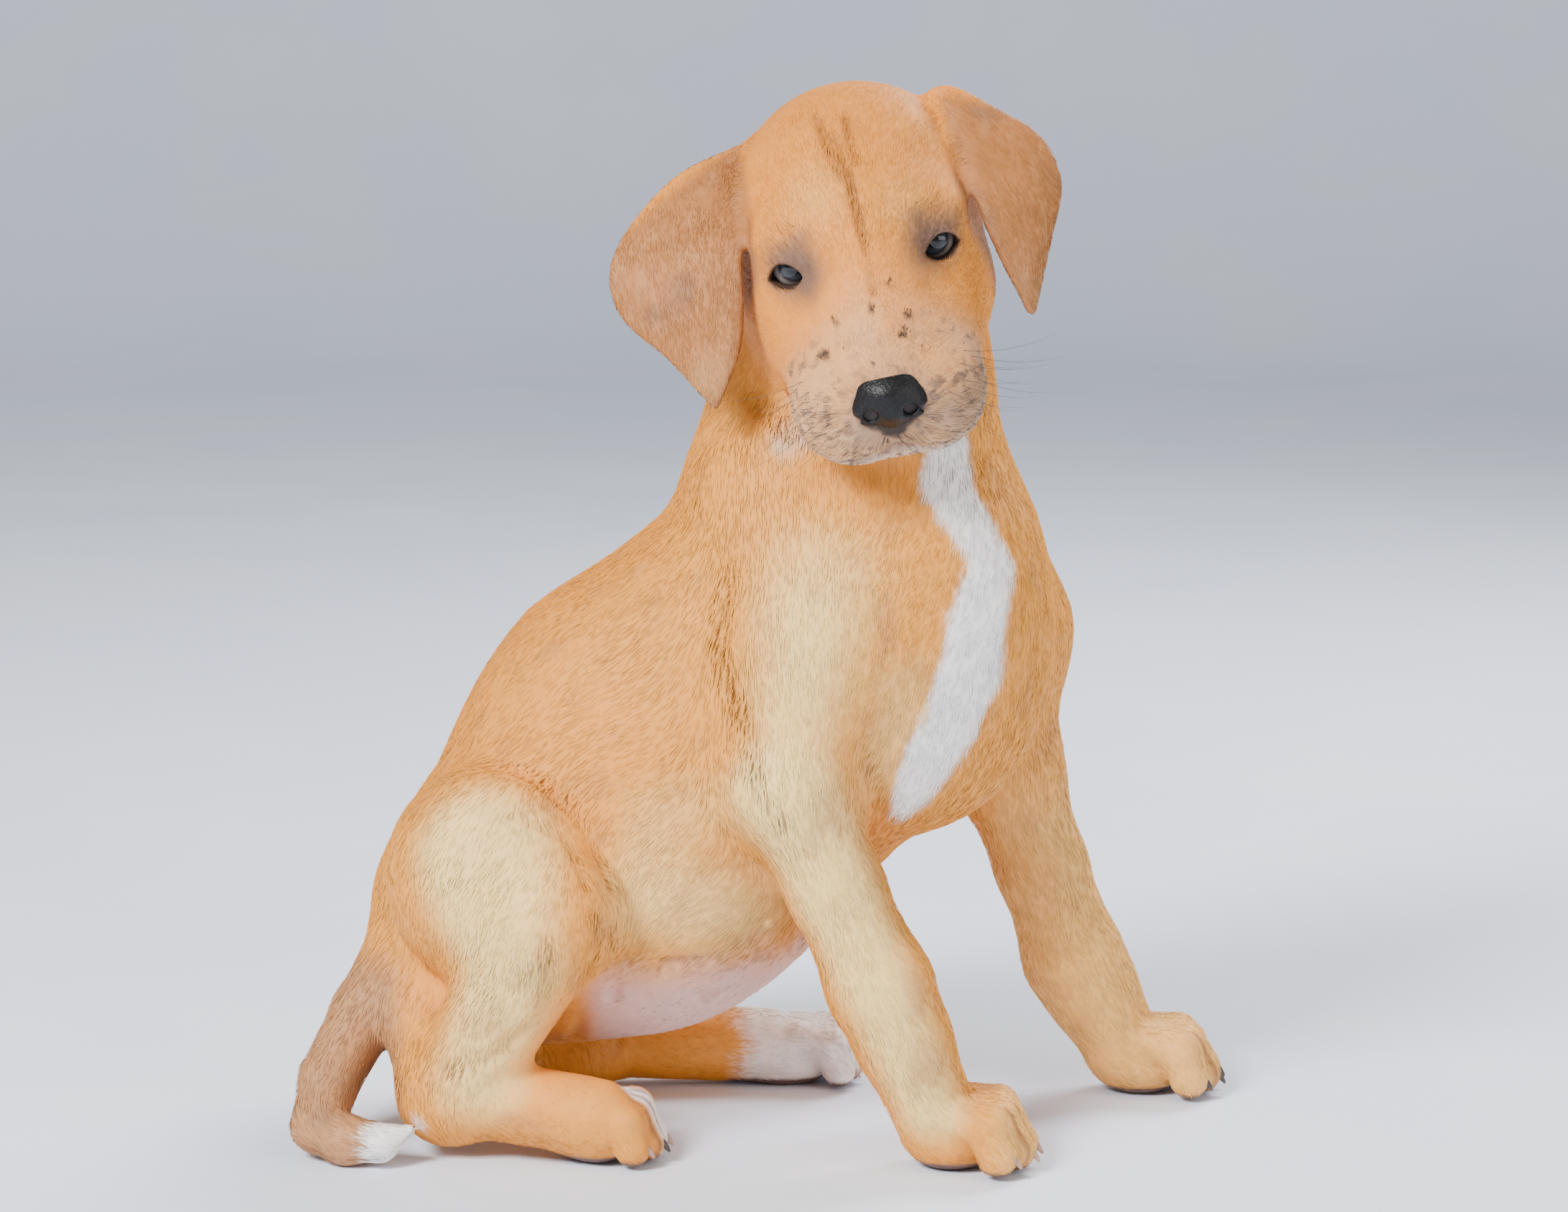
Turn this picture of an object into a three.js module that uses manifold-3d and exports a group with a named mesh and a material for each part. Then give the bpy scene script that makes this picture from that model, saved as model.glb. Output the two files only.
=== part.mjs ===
// A great dane puppy, sitting with its head turned and bowed, as a still life-size model.
// Millimetres, +Z up, +X the way the body points, +Y to the dog's left; the floor is Z = 0.
import * as THREE from "three";
import { mergeVertices } from "three/addons/utils/BufferGeometryUtils.js";
import Module from "manifold-3d";

const wasm = await Module();
wasm.setup();

// Driving sizes
const GAP = 0.3; // between touching nodes
const COAT = 1.2; // depth of the short coat over the skin
const EYE_RADIUS = 9.5;
const LID_THICKNESS = 2.6;
const EAR_THICKNESS = 4.2;
const CLAW_RADIUS = 2.6;

// Vector helpers on plain arrays
const add = (a, b) => [a[0] + b[0], a[1] + b[1], a[2] + b[2]];
const sub = (a, b) => [a[0] - b[0], a[1] - b[1], a[2] - b[2]];
const mul = (a, s) => [a[0] * s, a[1] * s, a[2] * s];
const dot = (a, b) => a[0] * b[0] + a[1] * b[1] + a[2] * b[2];
const unit = (a) => mul(a, 1 / Math.hypot(...a));
const cross = (a, b) => [
  a[1] * b[2] - a[2] * b[1],
  a[2] * b[0] - a[0] * b[2],
  a[0] * b[1] - a[1] * b[0],
];
const lerp = (a, b, t) => add(mul(a, 1 - t), mul(b, t));
const radians = (degrees) => (degrees * Math.PI) / 180;

// A frame that points forward at a yaw from +X towards +Y, pitched down and rolled to lift its left side.
function frameAt(origin, yaw, pitch, roll) {
  const [cy, sy] = [Math.cos(radians(yaw)), Math.sin(radians(yaw))];
  const [cp, sp] = [Math.cos(radians(pitch)), Math.sin(radians(pitch))];
  const [cr, sr] = [Math.cos(radians(roll)), Math.sin(radians(roll))];
  const forward = [cy * cp, sy * cp, -sp];
  const level = [-sy, cy, 0];
  const raised = cross(forward, level);
  const left = add(mul(level, cr), mul(raised, sr));
  const up = cross(forward, left);
  const at = (f, l, u) => add(origin, add(mul(forward, f), add(mul(left, l), mul(up, u))));
  return { origin, forward, left, up, at };
}

// Joints and landmarks of the pose
const HEAD = frameAt([34, -45, 387], -85, 31, 13);
const CHEST = frameAt([44, 6, 222], -62, -8, 0);
const PELVIS = frameAt([-118, 15, 98], -10, -35, 0);
const EYE = { right: HEAD.at(-3, -33, 0), left: HEAD.at(-3, 33, 0) };

const FORE = {
  right: { shoulder: [12, -44, 226], elbow: [2, -64, 166], carpus: [41, -71, 80], knuckle: [62, -69, 30] },
  left: { shoulder: [91, 40, 216], elbow: [101, 54, 150], carpus: [132, 56, 62], knuckle: [152, 57, 26] },
};
const HIND = {
  right: { hip: [-130, -24, 122], knee: [-98, -66, 110], hock: [-143, -48, 26], knuckle: [-80, -62, 20] },
  left: { hip: [-128, 50, 120], knee: [-70, 84, 92], hock: [-92, 66, 20], knuckle: [-8, 72, 17] },
};
const PAW = {
  fore_right: frameAt([79, -67, 0], -10, 0, 0),
  fore_left: frameAt([170, 57, 0], -4, 0, 0),
  hind_right: frameAt([-75, -55, 0], -6, 0, 0),
  hind_left: frameAt([12, 73, 0], 5, 0, 0),
};
const PAW_SIZE = {
  fore: { width: 47, length: 62, toe: 10, height: 26 },
  hind: { width: 40, length: 52, toe: 9, height: 23 },
};
const TAIL = [
  { at: [-166, 4, 78], r: 19 },
  { at: [-184, -14, 54], r: 16 },
  { at: [-198, -36, 30], r: 14 },
  { at: [-201, -54, 14], r: 12.5 },
  { at: [-188, -65, 11], r: 11.5 },
  { at: [-173, -69, 11], r: 9 },
  { at: [-160, -69, 17], r: 3 },
];

// Solid forms as signed distances: negative inside, in millimetres
function rod(a, b, ra, rb = ra, flat = null) {
  const stretch = flat ? (p) => add(p, mul(flat.n, (1 / flat.s - 1) * dot(sub(p, a), flat.n))) : (p) => p;
  const tip = stretch(b);
  const axis = sub(tip, a);
  const length2 = Math.max(dot(axis, axis), 1e-6);
  const scale = flat ? Math.min(1, flat.s) * 0.5 + 0.5 : 1;
  return (p) => {
    const q = sub(stretch(p), a);
    const t = Math.min(1, Math.max(0, dot(q, axis) / length2));
    return (Math.hypot(q[0] - axis[0] * t, q[1] - axis[1] * t, q[2] - axis[2] * t) - ra - (rb - ra) * t) * scale;
  };
}
function egg(frame, centre, radii) {
  const c = frame.at(...centre);
  const least = Math.min(...radii);
  return (p) => {
    const q = sub(p, c);
    const k = Math.hypot(
      dot(q, frame.forward) / radii[0],
      dot(q, frame.left) / radii[1],
      dot(q, frame.up) / radii[2],
    );
    const g = Math.hypot(
      dot(q, frame.forward) / radii[0] ** 2,
      dot(q, frame.left) / radii[1] ** 2,
      dot(q, frame.up) / radii[2] ** 2,
    );
    return g < 1e-9 ? -least : (k * (k - 1)) / g;
  };
}
const ball = (c, r) => (p) => Math.hypot(p[0] - c[0], p[1] - c[1], p[2] - c[2]) - r;
function blend(a, b, k) {
  const h = Math.max(k - Math.abs(a - b), 0) / k;
  return Math.min(a, b) - h * h * k * 0.25;
}
const join = (parts) => (p) => {
  let d = 1e3;
  for (const [form, k] of parts) d = blend(d, form(p), k);
  return d;
};
const carve = (form, cutters) => (p) => {
  let d = form(p);
  for (const [cutter, k] of cutters) d = -blend(-d, cutter(p), k);
  return d;
};

// The flesh of the body, part by part. Each entry is a form and the width of its blend into the rest.
const SIDES = [["right", -1], ["left", 1]];
const WORLD = frameAt([0, 0, 0], 0, 0, 0);

function torsoForms() {
  const loin = [-52, 18, 155];
  const ribs = [12, 10, 210];
  const across = unit([0.25, 0.97, 0]);
  return [
    [rod(PELVIS.origin, loin, 64, 88, { n: across, s: 0.86 }), 1],
    [rod(loin, ribs, 88, 84, { n: across, s: 0.84 }), 30],
    [egg(PELVIS, [52, 0, -32], [58, 60, 53]), 40],
    [rod(ribs, CHEST.at(22, -2, 4), 80, 62, { n: CHEST.forward, s: 0.95 }), 30],
    [egg(CHEST, [26, 2, -22], [42, 52, 62]), 26],
    [egg(PELVIS, [-28, 0, 4], [30, 44, 34]), 24],
  ];
}
function neckForms() {
  return [
    [rod([44, 8, 268], [36, 12, 338], 60, 49, { n: [0, 1, 0], s: 0.92 }), 34],
    [rod([36, 12, 338], HEAD.at(-58, 0, -8), 49, 42), 26],
    [rod([2, 22, 292], [22, 26, 360], 42, 40), 26],
  ];
}
function headForms() {
  const forms = [
    [egg(HEAD, [-46, 0, 4], [54, 50, 40]), 22],
    [rod(HEAD.at(0, 0, -8), HEAD.at(60, 0, -22), 31, 20), 24],
    [rod(HEAD.at(-36, 0, -44), HEAD.at(52, 0, -48), 30, 13), 18],
    [egg(HEAD, [-8, 0, 12], [26, 30, 20]), 20],
  ];
  for (const [, side] of SIDES) {
    forms.push(
      [egg(HEAD, [-28, side * 32, -20], [36, 16, 32]), 20],
      [rod(HEAD.at(-6, side * 26, -26), HEAD.at(44, side * 17, -32), 24, 22), 18],
      [egg(HEAD, [52, side * 18, -35], [25, 22, 23]), 12],
      [egg(HEAD, [-10, side * 25, 13], [17, 19, 10]), 12],
    );
  }
  return forms;
}
function lidForms() {
  return SIDES.map(([name]) => [ball(EYE[name], EYE_RADIUS + LID_THICKNESS), 5]);
}
function foreForms(name) {
  const leg = FORE[name];
  const wing = name === "right" ? [0, -14, 282] : [60, 34, 280];
  const middle = lerp(leg.elbow, leg.carpus, 0.5);
  const pastern = lerp(leg.carpus, leg.knuckle, 0.45);
  return [
    [rod(wing, leg.shoulder, 34, 36), 26],
    [rod(leg.shoulder, leg.elbow, name === "right" ? 36 : 32, name === "right" ? 27 : 24), 18],
    [rod(leg.elbow, middle, name === "right" ? 26 : 24, 21), 12],
    [rod(middle, leg.carpus, 20, 23), 8],
    [rod(leg.carpus, pastern, 22, 20), 8],
    [rod(pastern, leg.knuckle, 21, 19), 8],
  ];
}
function hindForms(name) {
  const leg = HIND[name];
  const side = name === "right" ? -1 : 1;
  const seat = add(PELVIS.at(-46, side * 36, -4), [0, 0, -6]);
  const heel = add(leg.hock, [-4, 0, 2]);
  return [
    [egg(WORLD, lerp(leg.hip, leg.knee, 0.3), [48, 42, 52]), 10],
    [rod(leg.hip, leg.knee, 42, 29), 14],
    [rod(leg.knee, leg.hock, 27, 21), 12],
    [rod(seat, heel, 24, 17), 16],
    [rod(heel, leg.knuckle, 18, 18), 8],
  ];
}
function toeLine(size, index) {
  const middle = Math.abs(index) < 1;
  const y = (index * size.width) / 4.1;
  const reach = size.length * (middle ? 0.5 : 0.4);
  return {
    root: [-size.length * 0.12, y * 0.7, size.height],
    knuckle: [reach * 0.42, y, size.height * 0.86],
    tip: [reach - size.toe, y * 1.08, size.toe],
    claw: [reach + 2.5, y * 1.1, 4],
  };
}
const TOES = [-1.5, -0.5, 0.5, 1.5];
function pawForms(frame, size) {
  const forms = [[egg(frame, [-size.length * 0.12, 0, 13], [size.length * 0.36, size.width * 0.42, 15]), 8]];
  for (const index of TOES) {
    const toe = toeLine(size, index);
    forms.push(
      [rod(frame.at(...toe.root), frame.at(...toe.knuckle), size.toe * 0.9, size.toe), 4],
      [rod(frame.at(...toe.knuckle), frame.at(...toe.tip), size.toe, size.toe * 0.95), 3],
    );
  }
  return forms;
}
function tailForms() {
  return TAIL.slice(1).map((to, i) => [rod(TAIL[i].at, to.at, TAIL[i].r, to.r), i ? 3 : 10]);
}

// Openings in the head: the slit between the lids, the mouth line and the groove under the nose.
const LID = { width: 8.6, height: 5.4 };
const eyeFrame = (side) => {
  const centre = EYE[side < 0 ? "right" : "left"];
  const forward = unit(add(HEAD.forward, add(mul(HEAD.left, side * 0.32), mul(HEAD.up, 0.02))));
  const left = unit(sub(HEAD.left, mul(forward, dot(HEAD.left, forward))));
  const up = cross(forward, left);
  return { centre, forward, left, up };
};
const slit = (side) => {
  const { centre, forward, left, up } = eyeFrame(side);
  return (p) => {
    const q = sub(p, centre);
    const across = dot(q, left) / LID.width;
    return Math.max(Math.abs(dot(q, up)) - LID.height * (1 - across * across), -dot(q, forward));
  };
};
const LIP = [[79, 0, -36], [74, 9, -42], [66, 22, -48], [46, 34, -52], [18, 40, -48], [-2, 40, -40]];
function mouthCutters() {
  const cutters = [[rod(HEAD.at(84, 0, -24), HEAD.at(79, 0, -36), 1.3), 2]];
  for (const [, side] of SIDES) {
    for (let i = 1; i < LIP.length; i++) {
      const [a, b] = [LIP[i - 1], LIP[i]].map(([f, l, u]) => HEAD.at(f, side * l, u));
      cutters.push([rod(a, b, 1.8), 3]);
    }
  }
  return cutters;
}

const flesh = (() => {
  const solid = join([
    ...torsoForms(),
    ...neckForms(),
    ...SIDES.flatMap(([name]) => foreForms(name)),
    ...SIDES.flatMap(([name]) => hindForms(name)),
    ...pawForms(PAW.fore_right, PAW_SIZE.fore),
    ...pawForms(PAW.fore_left, PAW_SIZE.fore),
    ...pawForms(PAW.hind_right, PAW_SIZE.hind),
    ...pawForms(PAW.hind_left, PAW_SIZE.hind),
    ...headForms(),
    ...lidForms(),
  ]);
  return carve(solid, [...SIDES.map(([, side]) => [slit(side), 1.5]), ...mouthCutters()]);
})();

// Surface of a form inside a box, as a closed solid: one vertex in each cell that the surface crosses.
function skinOf(form, low, high, step) {
  const origin = sub(low, mul([1, 1, 1], 1.5 * step));
  const count = [0, 1, 2].map((i) => Math.ceil((high[i] - low[i]) / step) + 4);
  const [nx, ny, nz] = count;
  const value = new Float32Array(nx * ny * nz);
  const at = (i, j, k) => (k * ny + j) * nx + i;
  const edge = (v, i) => Math.max(low[i] - v, v - high[i]);
  const clipped = (p) => Math.max(form(p), edge(p[0], 0), edge(p[1], 1), edge(p[2], 2));
  const settle = (p) => {
    const d = clipped(p);
    const slope = [0, 1, 2].map((i) => {
      const q = [...p];
      q[i] += 0.4;
      return (clipped(q) - d) / 0.4;
    });
    const steep = dot(slope, slope);
    if (steep < 0.2) return p;
    const reach = Math.max(-0.3 * step, Math.min(0.3 * step, d / steep));
    return sub(p, mul(slope, reach));
  };
  for (let k = 0; k < nz; k++)
    for (let j = 0; j < ny; j++)
      for (let i = 0; i < nx; i++) {
        const p = add(origin, mul([i, j, k], step));
        value[at(i, j, k)] = clipped(p) || 1e-6;
      }
  const vertexOf = new Map();
  const positions = [];
  const corner = [0, 1, 2, 3, 4, 5, 6, 7].map((c) => [c & 1, (c >> 1) & 1, c >> 2]);
  const vertex = (i, j, k) => {
    const key = at(i, j, k);
    if (vertexOf.has(key)) return vertexOf.get(key);
    let sum = [0, 0, 0];
    let n = 0;
    for (let a = 0; a < 8; a++)
      for (const bit of [1, 2, 4]) {
        if (a & bit) continue;
        const [ca, cb] = [corner[a], corner[a | bit]];
        const va = value[at(i + ca[0], j + ca[1], k + ca[2])];
        const vb = value[at(i + cb[0], j + cb[1], k + cb[2])];
        if (va < 0 === vb < 0) continue;
        sum = add(sum, lerp(ca, cb, va / (va - vb)));
        n++;
      }
    positions.push(...settle(add(origin, mul(add([i, j, k], mul(sum, 1 / n)), step))));
    vertexOf.set(key, positions.length / 3 - 1);
    return positions.length / 3 - 1;
  };
  const faces = [];
  const axes = [[1, 0, 0], [0, 1, 0], [0, 0, 1]];
  for (let k = 1; k < nz - 1; k++)
    for (let j = 1; j < ny - 1; j++)
      for (let i = 1; i < nx - 1; i++)
        axes.forEach((axis, a) => {
          const here = value[at(i, j, k)] < 0;
          if (here === value[at(i + axis[0], j + axis[1], k + axis[2])] < 0) return;
          const [b, c] = [axes[(a + 1) % 3], axes[(a + 2) % 3]];
          const ring = [[0, 0], [-1, 0], [-1, -1], [0, -1]].map(([s, t]) =>
            vertex(i + s * b[0] + t * c[0], j + s * b[1] + t * c[1], k + s * b[2] + t * c[2]),
          );
          const [p, q, r, s] = here ? ring : ring.reverse();
          faces.push(p, q, r, p, r, s);
        });
  return solidOf(positions, faces);
}
function solidOf(positions, faces) {
  return new wasm.Manifold(
    new wasm.Mesh({ numProp: 3, vertProperties: new Float32Array(positions), triVerts: new Uint32Array(faces) }),
  );
}
// The same closed surface moved outward along its normals, which leaves a gap around a fitted piece.
function grown(solid, reach) {
  const { vertProperties, triVerts } = solid.getMesh();
  const geometry = new THREE.BufferGeometry();
  geometry.setAttribute("position", new THREE.BufferAttribute(new Float32Array(vertProperties), 3));
  geometry.setIndex(new THREE.BufferAttribute(new Uint32Array(triVerts), 1));
  geometry.computeVertexNormals();
  const normal = geometry.attributes.normal.array;
  return solidOf(geometry.attributes.position.array.map((v, i) => v + normal[i] * reach), triVerts);
}
const tailFlesh = join(tailForms());
const largest = (solid) => solid.decompose().sort((a, b) => b.volume() - a.volume())[0];

// Nose leather, set into the end of the muzzle, with a nostril each side and the groove between them.
const noseForm = carve(
  join([
    [egg(HEAD, [63, 0, -14], [22, 17, 11]), 1],
    [egg(HEAD, [69, 0, -9], [13, 15, 7]), 5],
  ]),
  [
    ...SIDES.map(([, side]) => [rod(HEAD.at(90, side * 8, -16), HEAD.at(74, side * 11, -17), 2.6), 1.5]),
    [rod(HEAD.at(88, 0, -13), HEAD.at(81, 0, -26), 1), 1],
  ],
);

// A closed solid cell in a frame: a box, kept on the side of each plane that its normal points to.
function cellOf({ frame = WORLD, low, high, planes = [] }, grow = 0) {
  const size = [0, 1, 2].map((i) => high[i] - low[i] + 2 * grow);
  const box = new THREE.BoxGeometry(...size);
  box.deleteAttribute("normal");
  box.deleteAttribute("uv");
  const merged = mergeVertices(box);
  const middle = mul(add(low, high), 0.5);
  const place = new THREE.Matrix4().makeBasis(
    new THREE.Vector3(...frame.forward),
    new THREE.Vector3(...frame.left),
    new THREE.Vector3(...frame.up),
  );
  place.setPosition(...frame.at(...middle));
  merged.applyMatrix4(place);
  let cell = solidOf(merged.attributes.position.array, merged.index.array);
  for (const [point, normal] of planes) {
    const n = unit(normal);
    cell = cell.trimByPlane(n, dot(n, point) - grow);
  }
  return cell;
}

// Cuts between named parts
const headCut = [HEAD.at(-40, 0, -21), add(mul(HEAD.forward, 0.6), mul(HEAD.up, 0.8))];
const neckCut = [[44, 8, 278], [-0.15, -0.3, 1]];
const reverse = ([point, normal]) => [point, mul(normal, -1)];
const PAW_TOP = 41;
const ELBOW_CUT = { right: 134, left: 122 };

const CELLS = {
  head: { low: [-100, -150, 297], high: [160, 80, 480], planes: [headCut], step: 7.7 },
  neck: { low: [-90, -90, 240], high: [170, 120, 450], planes: [neckCut], step: 14 },
  paw_fore_right: { low: [10, -130, 0], high: [150, -34, PAW_TOP], step: 7 },
  paw_fore_left: { low: [104, 10, 0], high: [240, 110, PAW_TOP - 2], step: 7 },
  foreleg_right: { low: [-40, -130, PAW_TOP], high: [100, -36, ELBOW_CUT.right], step: 10,
    planes: [[[-8, -60, 134], [0.95, 0, 0.33]]] },
  foreleg_left: { low: [80, 18, PAW_TOP - 2], high: [190, 120, ELBOW_CUT.left], step: 11 },
  paw_hind_right: { low: [-90, -110, 0], high: [0, -38, 45], step: 7 },
  paw_hind_left: { low: [-22, 40, 0], high: [80, 120, 45], step: 7 },
  hock_right: { low: [-176, -100, 0], high: [-90, -26, 48], step: 10 },
  hock_left: { low: [-130, 36, 0], high: [-22, 110, 44], step: 10 },
  thigh_right: { low: [-220, -130, 48], high: [-62, -40, 200], step: 13,
    planes: [[[-104, -60, 176], [-0.62, 0, -0.78]], [[-66, -60, 120], [-0.9, 0, 0.35]]] },
  thigh_left: { low: [-200, 78, 44], high: [-20, 160, 200], step: 13,
    planes: [[[-92, 90, 166], [-0.6, 0, -0.8]]] },
  shoulder_right: { low: [-27, -130, ELBOW_CUT.right], high: [100, 60, 300],
    planes: [[CHEST.at(0, -44, 0), mul(CHEST.left, -1)]], step: 15 },
  shoulder_left: { low: [20, -40, ELBOW_CUT.left], high: [170, 120, 300],
    planes: [[CHEST.at(0, 46, 0), CHEST.left]], step: 15 },
  torso: { low: [-220, -130, 0], high: [180, 160, 330], step: 17 },
};

// Coat colours from the photograph
const PAINT = {
  fawn: { color: "#d9a766", roughness: 0.85 },
  fawn_light: { color: "#e0bd8c", roughness: 0.85 },
  ear: { color: "#a97a4c", roughness: 0.85 },
  white: { color: "#ece6df", roughness: 0.85 },
  nose: { color: "#1b1b20", roughness: 0.35 },
  eye: { color: "#23252c", roughness: 0.08 },
  claw: { color: "#6b5a4c", roughness: 0.4 },
};
const model = new THREE.Group();
const SHORT = 0.25; // edges below this, left by a cut, are closed up

// Closes up the very short edges of a cut solid and eases apart corners that only touch.
function cleaned(solid) {
  const mesh = solid.getMesh();
  const points = [];
  for (let i = 0; i < mesh.vertProperties.length; i += 3) points.push([...mesh.vertProperties.slice(i, i + 3)]);
  let faces = [];
  for (let i = 0; i < mesh.triVerts.length; i += 3) faces.push([...mesh.triVerts.slice(i, i + 3)]);
  const neighbours = () => {
    const near = points.map(() => new Set());
    for (const face of faces)
      for (const [i, v] of face.entries()) near[v].add(face[(i + 1) % 3]).add(face[(i + 2) % 3]);
    return near;
  };
  for (let pass = 0; pass < 12; pass++) {
    const near = neighbours();
    const held = new Set();
    const target = points.map((_, i) => i);
    for (const face of faces)
      for (let i = 0; i < 3; i++) {
        const [a, b] = [face[i], face[(i + 1) % 3]];
        if (Math.hypot(...sub(points[a], points[b])) > SHORT) continue;
        const around = [...near[a], ...near[b]];
        if (held.has(a) || held.has(b) || around.some((v) => held.has(v))) continue;
        if ([...near[a]].filter((v) => near[b].has(v)).length !== 2) continue;
        points[a] = lerp(points[a], points[b], 0.5);
        target[b] = a;
        for (const v of around) held.add(v);
      }
    if (!held.size) break;
    faces = faces.map((face) => face.map((v) => target[v])).filter(([a, b, c]) => a !== b && b !== c && c !== a);
  }
  const near = neighbours();
  const seen = new Map();
  const key = (p) => p.map((v) => Math.round(v * 200)).join();
  for (const [i, p] of points.entries()) if (near[i].size) seen.set(key(p), [...(seen.get(key(p)) ?? []), i]);
  for (const twins of seen.values())
    if (twins.length > 1)
      for (const i of twins) {
        const around = [...near[i]];
        const middle = mul(around.reduce((sum, v) => add(sum, points[v]), [0, 0, 0]), 1 / around.length);
        points[i] = lerp(points[i], middle, 0.04);
      }
  const order = new Map();
  const kept = [];
  const triVerts = faces.flat().map((v) => {
    if (!order.has(v)) {
      order.set(v, order.size);
      kept.push(...points[v]);
    }
    return order.get(v);
  });
  return { vertProperties: kept, triVerts };
}
function show(name, solid, paint) {
  const { vertProperties, triVerts } = cleaned(solid);
  const geometry = new THREE.BufferGeometry();
  geometry.setAttribute("position", new THREE.BufferAttribute(new Float32Array(vertProperties), 3));
  geometry.setIndex(new THREE.BufferAttribute(new Uint32Array(triVerts), 1));
  geometry.computeVertexNormals();
  const mesh = new THREE.Mesh(geometry, new THREE.MeshStandardMaterial({ metalness: 0, ...PAINT[paint] }));
  mesh.name = name;
  model.add(mesh);
}

// An ear flap: a thin sheet between its inner and outer edges, from the root to the tip.
const EARS = {
  right: {
    inner: [[-8, -24, 404], [-19, -36, 391], [-19, -43, 374], [-20, -47, 352], [-25, -50, 337], [-29, -51, 327]],
    outer: [[-12, 6, 434], [-43, -4, 420], [-63, -16, 400], [-72, -26, 382], [-68, -33, 364], [-47, -44, 346], [-29, -51, 327]],
    bulge: -9,
  },
  left: {
    inner: [[70, -26, 424], [82, -36, 414], [86, -38, 403], [93, -37, 388], [101, -34, 373], [105, -31, 365]],
    outer: [[54, 2, 447], [68, -6, 457], [87, -10, 449], [109, -14, 435], [116, -18, 418], [112, -24, 396], [105, -31, 365]],
    bulge: 9,
  },
};
function earSolid({ inner, outer, bulge }, grow = 0) {
  const curves = [inner, outer].map(
    (points) => new THREE.CatmullRomCurve3(points.map((p) => new THREE.Vector3(...p)), false, "centripetal"),
  );
  const [rows, columns] = [12, 6];
  const middle = (i, j) => {
    const s = i / rows;
    const t = j / columns;
    const [a, b] = curves.map((curve) => curve.getPoint(s).toArray());
    const lift = bulge * Math.sin(Math.PI * Math.min(1, s * 1.15)) * 4 * t * (1 - t) * 0.6;
    return add(lerp(a, b, t), mul(HEAD.forward, Math.abs(lift)));
  };
  const grid = Array.from({ length: rows + 1 }, (_, i) =>
    Array.from({ length: columns + 1 }, (_, j) => middle(i, j)));
  const normalAt = (i, j) => {
    const along = sub(grid[Math.min(rows, i + 1)][j], grid[Math.max(0, i - 1)][j]);
    const across = sub(grid[i][Math.min(columns, j + 1)], grid[i][Math.max(0, j - 1)]);
    const n = cross(along, across);
    const size = Math.hypot(...n);
    return size < 1e-6 ? HEAD.forward : mul(n, 1 / size);
  };
  const toward = (a, b) => (Math.hypot(...sub(b, a)) < 1e-3 ? [0, 0, 0] : unit(sub(b, a)));
  const positions = [];
  const index = (face, i, j) => (face * (rows + 1) + i) * (columns + 1) + j;
  for (const face of [1, -1])
    for (let i = 0; i <= rows; i++)
      for (let j = 0; j <= columns; j++) {
        const rim = Math.min(1, (2.2 * Math.min(j, columns - j)) / columns + 0.28) * (i > rows - 2 ? 0.6 : 1);
        const half = (EAR_THICKNESS / 2) * rim + grow;
        const spread = add(
          mul(toward(grid[i][0], grid[i][columns]), j === 0 ? -grow : j === columns ? grow : 0),
          mul(toward(grid[0][j], grid[rows][j]), i === 0 ? -grow : i === rows ? grow : 0),
        );
        positions.push(...add(add(grid[i][j], spread), mul(normalAt(Math.min(i, rows - 1), j), face * half)));
      }
  const faces = [];
  const quad = (a, b, c, d) => faces.push(a, b, c, a, c, d);
  for (let i = 0; i < rows; i++)
    for (let j = 0; j < columns; j++) {
      quad(index(0, i, j), index(0, i + 1, j), index(0, i + 1, j + 1), index(0, i, j + 1));
      quad(index(1, i, j), index(1, i, j + 1), index(1, i + 1, j + 1), index(1, i + 1, j));
    }
  for (let i = 0; i < rows; i++) {
    quad(index(0, i, 0), index(1, i, 0), index(1, i + 1, 0), index(0, i + 1, 0));
    quad(index(0, i, columns), index(0, i + 1, columns), index(1, i + 1, columns), index(1, i, columns));
  }
  for (let j = 0; j < columns; j++) {
    quad(index(0, 0, j), index(0, 0, j + 1), index(1, 0, j + 1), index(1, 0, j));
    quad(index(0, rows, j), index(1, rows, j), index(1, rows, j + 1), index(0, rows, j + 1));
  }
  const solid = solidOf(positions, faces);
  return solid.volume() > 0 ? solid : solidOf(positions, faces.reverse());
}

// A claw: a tapered, downward-curving horn with its root in the toe.
function clawSolid(root, tip, grow = 0) {
  const [rings, sides] = [3, 6];
  const along = unit(sub(tip, root));
  const side = unit(cross(along, [0, 0, 1]));
  const up = cross(side, along);
  const positions = [];
  for (let i = 0; i <= rings; i++) {
    const t = i / rings;
    const r = CLAW_RADIUS * (1 - 0.82 * t * t) + grow;
    const centre = add(lerp(root, tip, t), mul(up, 2.2 * t * (1 - t)));
    for (let j = 0; j < sides; j++) {
      const a = (2 * Math.PI * j) / sides;
      positions.push(...add(centre, add(mul(side, r * 0.8 * Math.cos(a)), mul(up, r * Math.sin(a)))));
    }
  }
  positions.push(...sub(root, mul(along, grow)), ...add(tip, mul(along, grow + 0.4)));
  const faces = [];
  for (let i = 0; i < rings; i++)
    for (let j = 0; j < sides; j++) {
      const [a, b] = [i * sides + j, i * sides + ((j + 1) % sides)];
      faces.push(a, b, b + sides, a, b + sides, a + sides);
    }
  const [base, point, last] = [positions.length / 3 - 2, positions.length / 3 - 1, rings * sides];
  for (let j = 0; j < sides; j++) {
    const k = (j + 1) % sides;
    faces.push(base, k, j, point, last + j, last + k);
  }
  const solid = solidOf(positions, faces);
  return solid.volume() > 0 ? solid : solidOf(positions, faces.reverse());
}
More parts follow.
